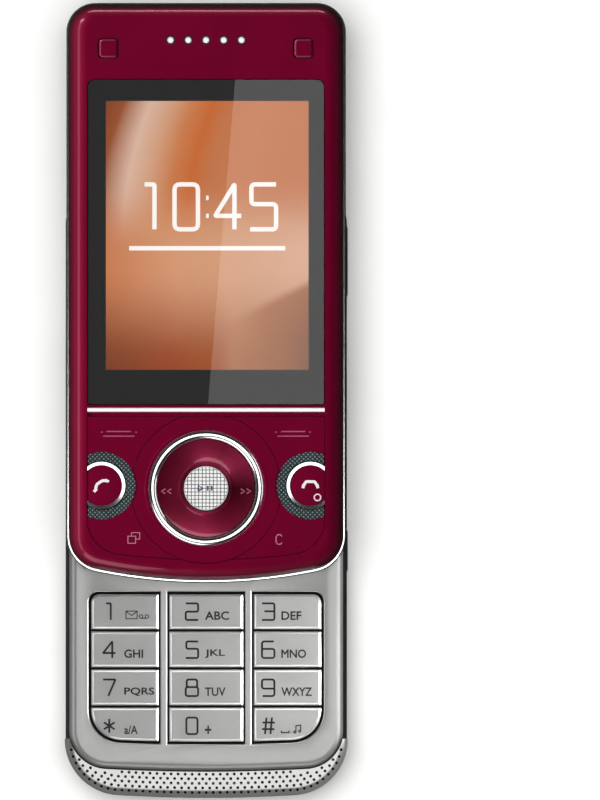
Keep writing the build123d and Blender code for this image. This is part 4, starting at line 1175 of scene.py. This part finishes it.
# Painted highlight and shade: the ring's colour goes light and dark in wedges by angle round its middle.
round_share = wire(ring_tree, "TexGradient", {"gradient_type": "RADIAL"}, Vector=ring_place)["Fac"]
wedge_highlight_shade = shades(
    ring_tree, round_share, (0.0, screen(136, 14, 52)), (0.12, screen(148, 16, 56)),
    (0.24, screen(184, 36, 84)), (0.36, screen(152, 18, 60)), (0.5, screen(104, 6, 34)),
    (0.6, screen(192, 44, 92)), (0.68, screen(150, 16, 58)), (0.78, screen(176, 30, 80)),
    (0.88, screen(136, 14, 52)), (1.0, screen(136, 14, 52)),
)
ring_tree.links.new(wedge_highlight_shade, ring_shader.inputs["Base Color"])
ring_shader.inputs["Metallic"].default_value = 0.5
ring_shader.inputs["Coat Weight"].default_value = 1.0
ring_shader.inputs["Coat Roughness"].default_value = 0.05
dress(ring_red, "nav_ring_key")

ridge_radius = 10.17         # a low lip on the island, round the chrome ring
island_top = corners("nav_island")[1].z
ridge = turned(
    ((ridge_radius - 0.3, island_top - 0.02), (ridge_radius - 0.12, island_top + 0.05),
     (ridge_radius + 0.05, island_top + 0.07), (ridge_radius + 0.3, island_top - 0.02)),
    nav_x, nav_y, 128, ring=True,
)
add_piece("island_ridge", ridge, (red_gloss,), "upper_half", "red_gloss")

select_low, select_high = corners("select_key")
select_radius = (select_high.x - select_low.x) / 2
select_top = select_high.z
select = copied("select_key")
lines = int(select_radius / grid_pitch) + 1
for across in (True, False):
    grooves = []
    for step in range(-lines, lines + 1):
        narrow = (step * grid_pitch - grid_line / 2, step * grid_pitch + grid_line / 2)
        wide = (-select_radius - 1, select_radius + 1)
        x, y = (narrow, wide) if across else (wide, narrow)
        groove = plate(x, y, (select_top - grid_depth, select_top + grid_depth))
        grooves.append(moved(groove, nav_x, nav_y))
    select = cut(select, joined(grooves))
select_silver = coating("select_silver", screen(250, 249, 249), 0.3, metal=0.05, drift=0.03)
# Painted shade: the grooves' walls and floors are given a darker grey.
grid_groove_shade = coating("grid_groove_shade", screen(84, 80, 82), 0.5, drift=0.1)
play_mark = [
    ([(-1.3, -0.42), (-1.3, 0.42), (-0.45, 0), (-1.3, -0.42)], 0, False),
    ([(0.3, -0.4), (0.3, 0.4)], 0, False), ([(0.95, -0.4), (0.95, 0.4)], 0, False),
]
sign_blue = ink("sign_blue", screen(66, 88, 108))
play = moved(strokes(play_mark, 0.34), nav_x, nav_y, select_top - ink_sunk)
add_piece("select_key_sign", play, (sign_blue,), "select_key", "silver_satin")

arrow = ([(0.42, 0.4), (-0.24, 0), (0.42, -0.4)], 0, False)
arrow_places = (-7.3, -6.3)
arrow_drop = 0.5
arrows = []
for turn in (0, math.pi):
    for x in arrow_places:
        mark = moved(strokes([arrow], 0.26), x, -arrow_drop * math.cos(turn))
        bmesh.ops.rotate(mark, cent=(0, 0, 0), matrix=Matrix.Rotation(turn, 3, "Z"), verts=mark.verts)
        arrows.append(moved(mark, nav_x, nav_y))
arrows = laid_on(joined(arrows), copied("nav_ring_key"))
sign_dim = ink("sign_dim", screen(168, 84, 112))
add_piece("nav_ring_arrows", arrows, (sign_dim,), "nav_ring", "silver_satin")
add_piece(
    "gridded_select_key", select, (select_silver, grid_groove_shade), "select_key", "select_silver", "select_key",
    even=True,
)

# ==== Printed signs of the upper half ====
# Thin pinkish prints on the two key plates: bars and dots over the soft keys, two overlapping squares
# at the lower left, and a C at the lower right.
sign_pink = ink("sign_pink", screen(184, 122, 144))
soft_bars = ((17.45, 17.75, -5.3), (11.65, 11.95, -5.3), (16.8, 12.7, -5.2), (17.4, 12.1, -5.98))
plate_top = corners("left_key_plate")[1].z
for side, carrier in ((-1, "left_rocker"), (1, "right_rocker")):
    bars = []
    for start, end, y in soft_bars:
        bars.append(([(side * start, y), (side * end, y)], 0, False))
    prints = moved(strokes(bars, 0.2), 0, 0, plate_top - ink_sunk)
    add_piece(carrier + "_bars", prints, (sign_dim,), carrier, "silver_satin")
    if side < 0:
        squares = [
            ([(-13.2, -24.1), (-11.9, -24.1), (-11.9, -22.9), (-13.2, -22.9)], 0.05, True),
            ([(-12.6, -22.9), (-12.6, -22.3), (-11.2, -22.3), (-11.2, -23.4), (-11.9, -23.4)], 0.05, False),
        ]
        prints = strokes(squares, 0.15)
    else:
        clear = [(1.0, 1.35), (0.75, 1.6), (0.3, 1.6), (0, 1.25), (0, 0.35), (0.3, 0), (0.75, 0), (1.0, 0.25)]
        prints = moved(strokes([(clear, 0.1, False)], 0.17), 11.85, -24.25)
    moved(prints, 0, 0, plate_top - ink_sunk)
    add_piece(carrier + "_signs", prints, (sign_pink,), carrier, "silver_satin")

# ==== Studio ====
# A pale floor, a dark ceiling with a light horizon, and soft boxes round the table.
camera_height = 3.0
frame_high = 135.6           # what the picture takes in, along the phone
camera_spot = (15.9, 0.13)
focus_height = 8.0

floor_shape = bmesh.new()
bmesh.ops.create_grid(floor_shape, x_segments=1, y_segments=1, size=3.0)
floor_mesh = bpy.data.meshes.new("floor")
floor_shape.to_mesh(floor_mesh)
floor_shape.free()
floor = bpy.data.objects.new("floor", floor_mesh)
bpy.context.scene.collection.objects.link(floor)
floor.location.z = -0.0001
floor_mesh.materials.append(coating("floor_white", screen(244, 244, 242), 0.8, drift=0.01))
floor.visible_glossy = False

world = bpy.data.worlds.new("studio")
bpy.context.scene.world = world
world.use_nodes = True
sky_tree = world.node_tree
sky_parts = wire(sky_tree, "SeparateXYZ", Vector=wire(sky_tree, "TexCoord")["Generated"])
rise = spread(sky_tree, sky_parts["Z"], -1.0, 1.0)
sky = shades(
    sky_tree, rise, (0.0, grey(0.05)), (0.46, grey(0.04)), (0.52, grey(0.16)), (0.64, grey(0.14)),
    (0.85, grey(0.02)),
)
sky_side = wire(sky_tree, "MapRange", Value=sky_parts["X"], From_Min=-1.0, To_Min=1.0, To_Max=0.2)["Result"]
sky_tree.links.new(sky, sky_tree.nodes["Background"].inputs["Color"])
sky_tree.links.new(sky_side, sky_tree.nodes["Background"].inputs["Strength"])


def soft_box(name, spot, wide, high, watts, aim=(0, 0, 0), only=None, turn=0.0, shine=True, shade=True):
    """A rectangular light aimed at a point, for all pieces or a few, and for gloss, colour or both."""
    light = bpy.data.lights.new(name, "AREA")
    light.shape = "RECTANGLE"
    light.size = wide
    light.size_y = high
    light.energy = watts
    made = bpy.data.objects.new(name, light)
    bpy.context.scene.collection.objects.link(made)
    made.location = spot
    facing = (Vector(aim) - Vector(spot)).to_track_quat("-Z", "Y")
    made.rotation_euler = (Matrix.Rotation(turn, 3, "Z") @ facing.to_matrix()).to_euler()
    made.visible_camera = False
    made.visible_glossy = shine
    made.visible_transmission = shine
    made.visible_diffuse = shade
    if only:
        group = bpy.data.collections.new(name + "_pieces")
        for piece in only:
            group.objects.link(piece)
        made.light_linking.receiver_collection = group
    return made


def pieces(*slots):
    """All pieces and nodes whose finish comes from one of the slots."""
    found = []
    for item in bpy.data.objects:
        slot = item.get("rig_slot") or node_slots.get(item.name)
        if item.type == "MESH" and slot in slots:
            found.append(item)
    return found


signs = [item for item in bpy.data.objects if item.name.endswith(("_sign", "_signs", "_bars", "_arrows"))]
silver = [item for item in pieces("silver_satin") if item not in signs]
keys = pieces("key_silver")
grille = pieces("grille_silver")
bright = pieces("spun_metal", "select_silver", "back_plastic", "halo_dark", "rail_steel")
chrome = pieces("chrome")
red = pieces("red_gloss")
lit_apart = silver + keys + grille + red
others = [item for item in bpy.data.objects if item.type == "MESH" and item not in lit_apart]
ring_key = frame["nodes"]["nav_ring_key"]
call_rims = [item for item in chrome if item.name.endswith("_rim")]
plated = [item for item in chrome if item is not plated_frame and item not in call_rims]
halos = pieces("halo_dark")

soft_box("key_light", (-0.16, 0.1, 0.88), 0.6, 0.6, 3.5, shine=False, only=others)
soft_box("red_light", (-0.55, 0.12, 0.65), 0.6, 0.6, 5.6, shine=False, only=red)
soft_box("sign_light", (0, 0, 0.6), 0.3, 0.3, 2.0, shine=False, only=signs)
soft_box("floor_light", (0.0, 0.0, 1.2), 1.6, 1.6, 17.6, only=[floor])
soft_box("overhead", (0.05, 0.0, 1.5), 1.0, 1.0, 3.2, only=bright)
soft_box("silver_overhead", (0.05, 0.0, 1.5), 1.0, 1.0, 4.6, only=silver)
soft_box("keys_overhead", (0.05, 0.0, 1.5), 1.0, 1.0, 1.75, only=keys)
soft_box("grille_overhead", (0.05, 0.0, 1.5), 1.0, 1.0, 5.5, only=grille)
soft_box("near_right", (0.1, -0.05, 0.08), 0.03, 0.12, 0.035, (0, -0.045, 0.008), only=silver + grille)
soft_box("keys_near_right", (0.1, -0.05, 0.08), 0.03, 0.12, 0.165, (0, -0.045, 0.008), only=keys)
for x, y in ((0.45, -0.05), (-0.45, -0.05), (0, -0.5), (0, 0.4)):
    soft_box("bevel_light", (x, y, 0.28), 0.4, 0.14, 0.35, (0, -0.05, 0.008), only=keys)
    soft_box("rim_light", (x, y, 0.24), 0.4, 0.14, 0.3, (0, -0.05, 0.008), only=silver)
soft_box("chrome_overhead", (0.05, 0.0, 1.5), 1.0, 1.0, 7.5, only=plated + pieces("select_silver"))
soft_box("call_rims_overhead", (0.0, 0.25, 1.5), 1.6, 1.1, 13.0, (0, 0.25, 0), only=call_rims)
soft_box("chrome_front", (-0.3, -0.45, 0.35), 0.7, 0.4, 1.6, only=plated)
soft_box("chrome_right", (0.55, 0.1, 0.3), 0.5, 0.3, 0.6, only=plated)
soft_box("frame_card", (0.0, -0.066, 0.5), 0.16, 0.08, 0.2, (0, -0.03, 0), only=[plated_frame])
for x in (-0.4, 0.4):
    soft_box("halo_light", (x, 0.15, 0.35), 0.2, 0.2, 0.6, only=halos)
soft_box("wedge_light", (0.12, 0.4, 0.6), 0.5, 0.5, 1.6, (0, -0.015, 0.015), only=[ring_key], shade=False)
soft_box("low_left", (-0.25, -0.5, 0.3), 0.4, 0.3, 0.45, only=red)
soft_box("left_strip", (-0.5, 0.02, 0.4), 0.8, 0.16, 0.34, only=red, shade=False)
soft_box("left_corner", (-0.35, 0.35, 0.3), 0.12, 0.12, 0.2, only=red, shade=False)
soft_box("far_end", (0.02, 0.7, 0.07), 0.5, 0.06, 0.6, only=red, shade=False)
soft_box("window_fill", (0.0, 0.0, 2.1), 1.2, 1.2, 1.4, only=[glass])
soft_box(
    "window_card", (0.0942, 0.045, 2.0), 0.2, 0.4, 0.25, (0.0942, 0.045, 0), only=[glass],
    turn=math.radians(-4.8),
)

view_camera = bpy.data.cameras.new("camera")
view_camera.sensor_width = 36.0
distance = camera_height - focus_height * MM
view_camera.lens = view_camera.sensor_width * distance / (frame_high * MM)
camera = bpy.data.objects.new("camera", view_camera)
bpy.context.scene.collection.objects.link(camera)
camera.location = (camera_spot[0] * MM, camera_spot[1] * MM, camera_height)
bpy.context.scene.camera = camera
bpy.context.scene.view_settings.view_transform = "Standard"
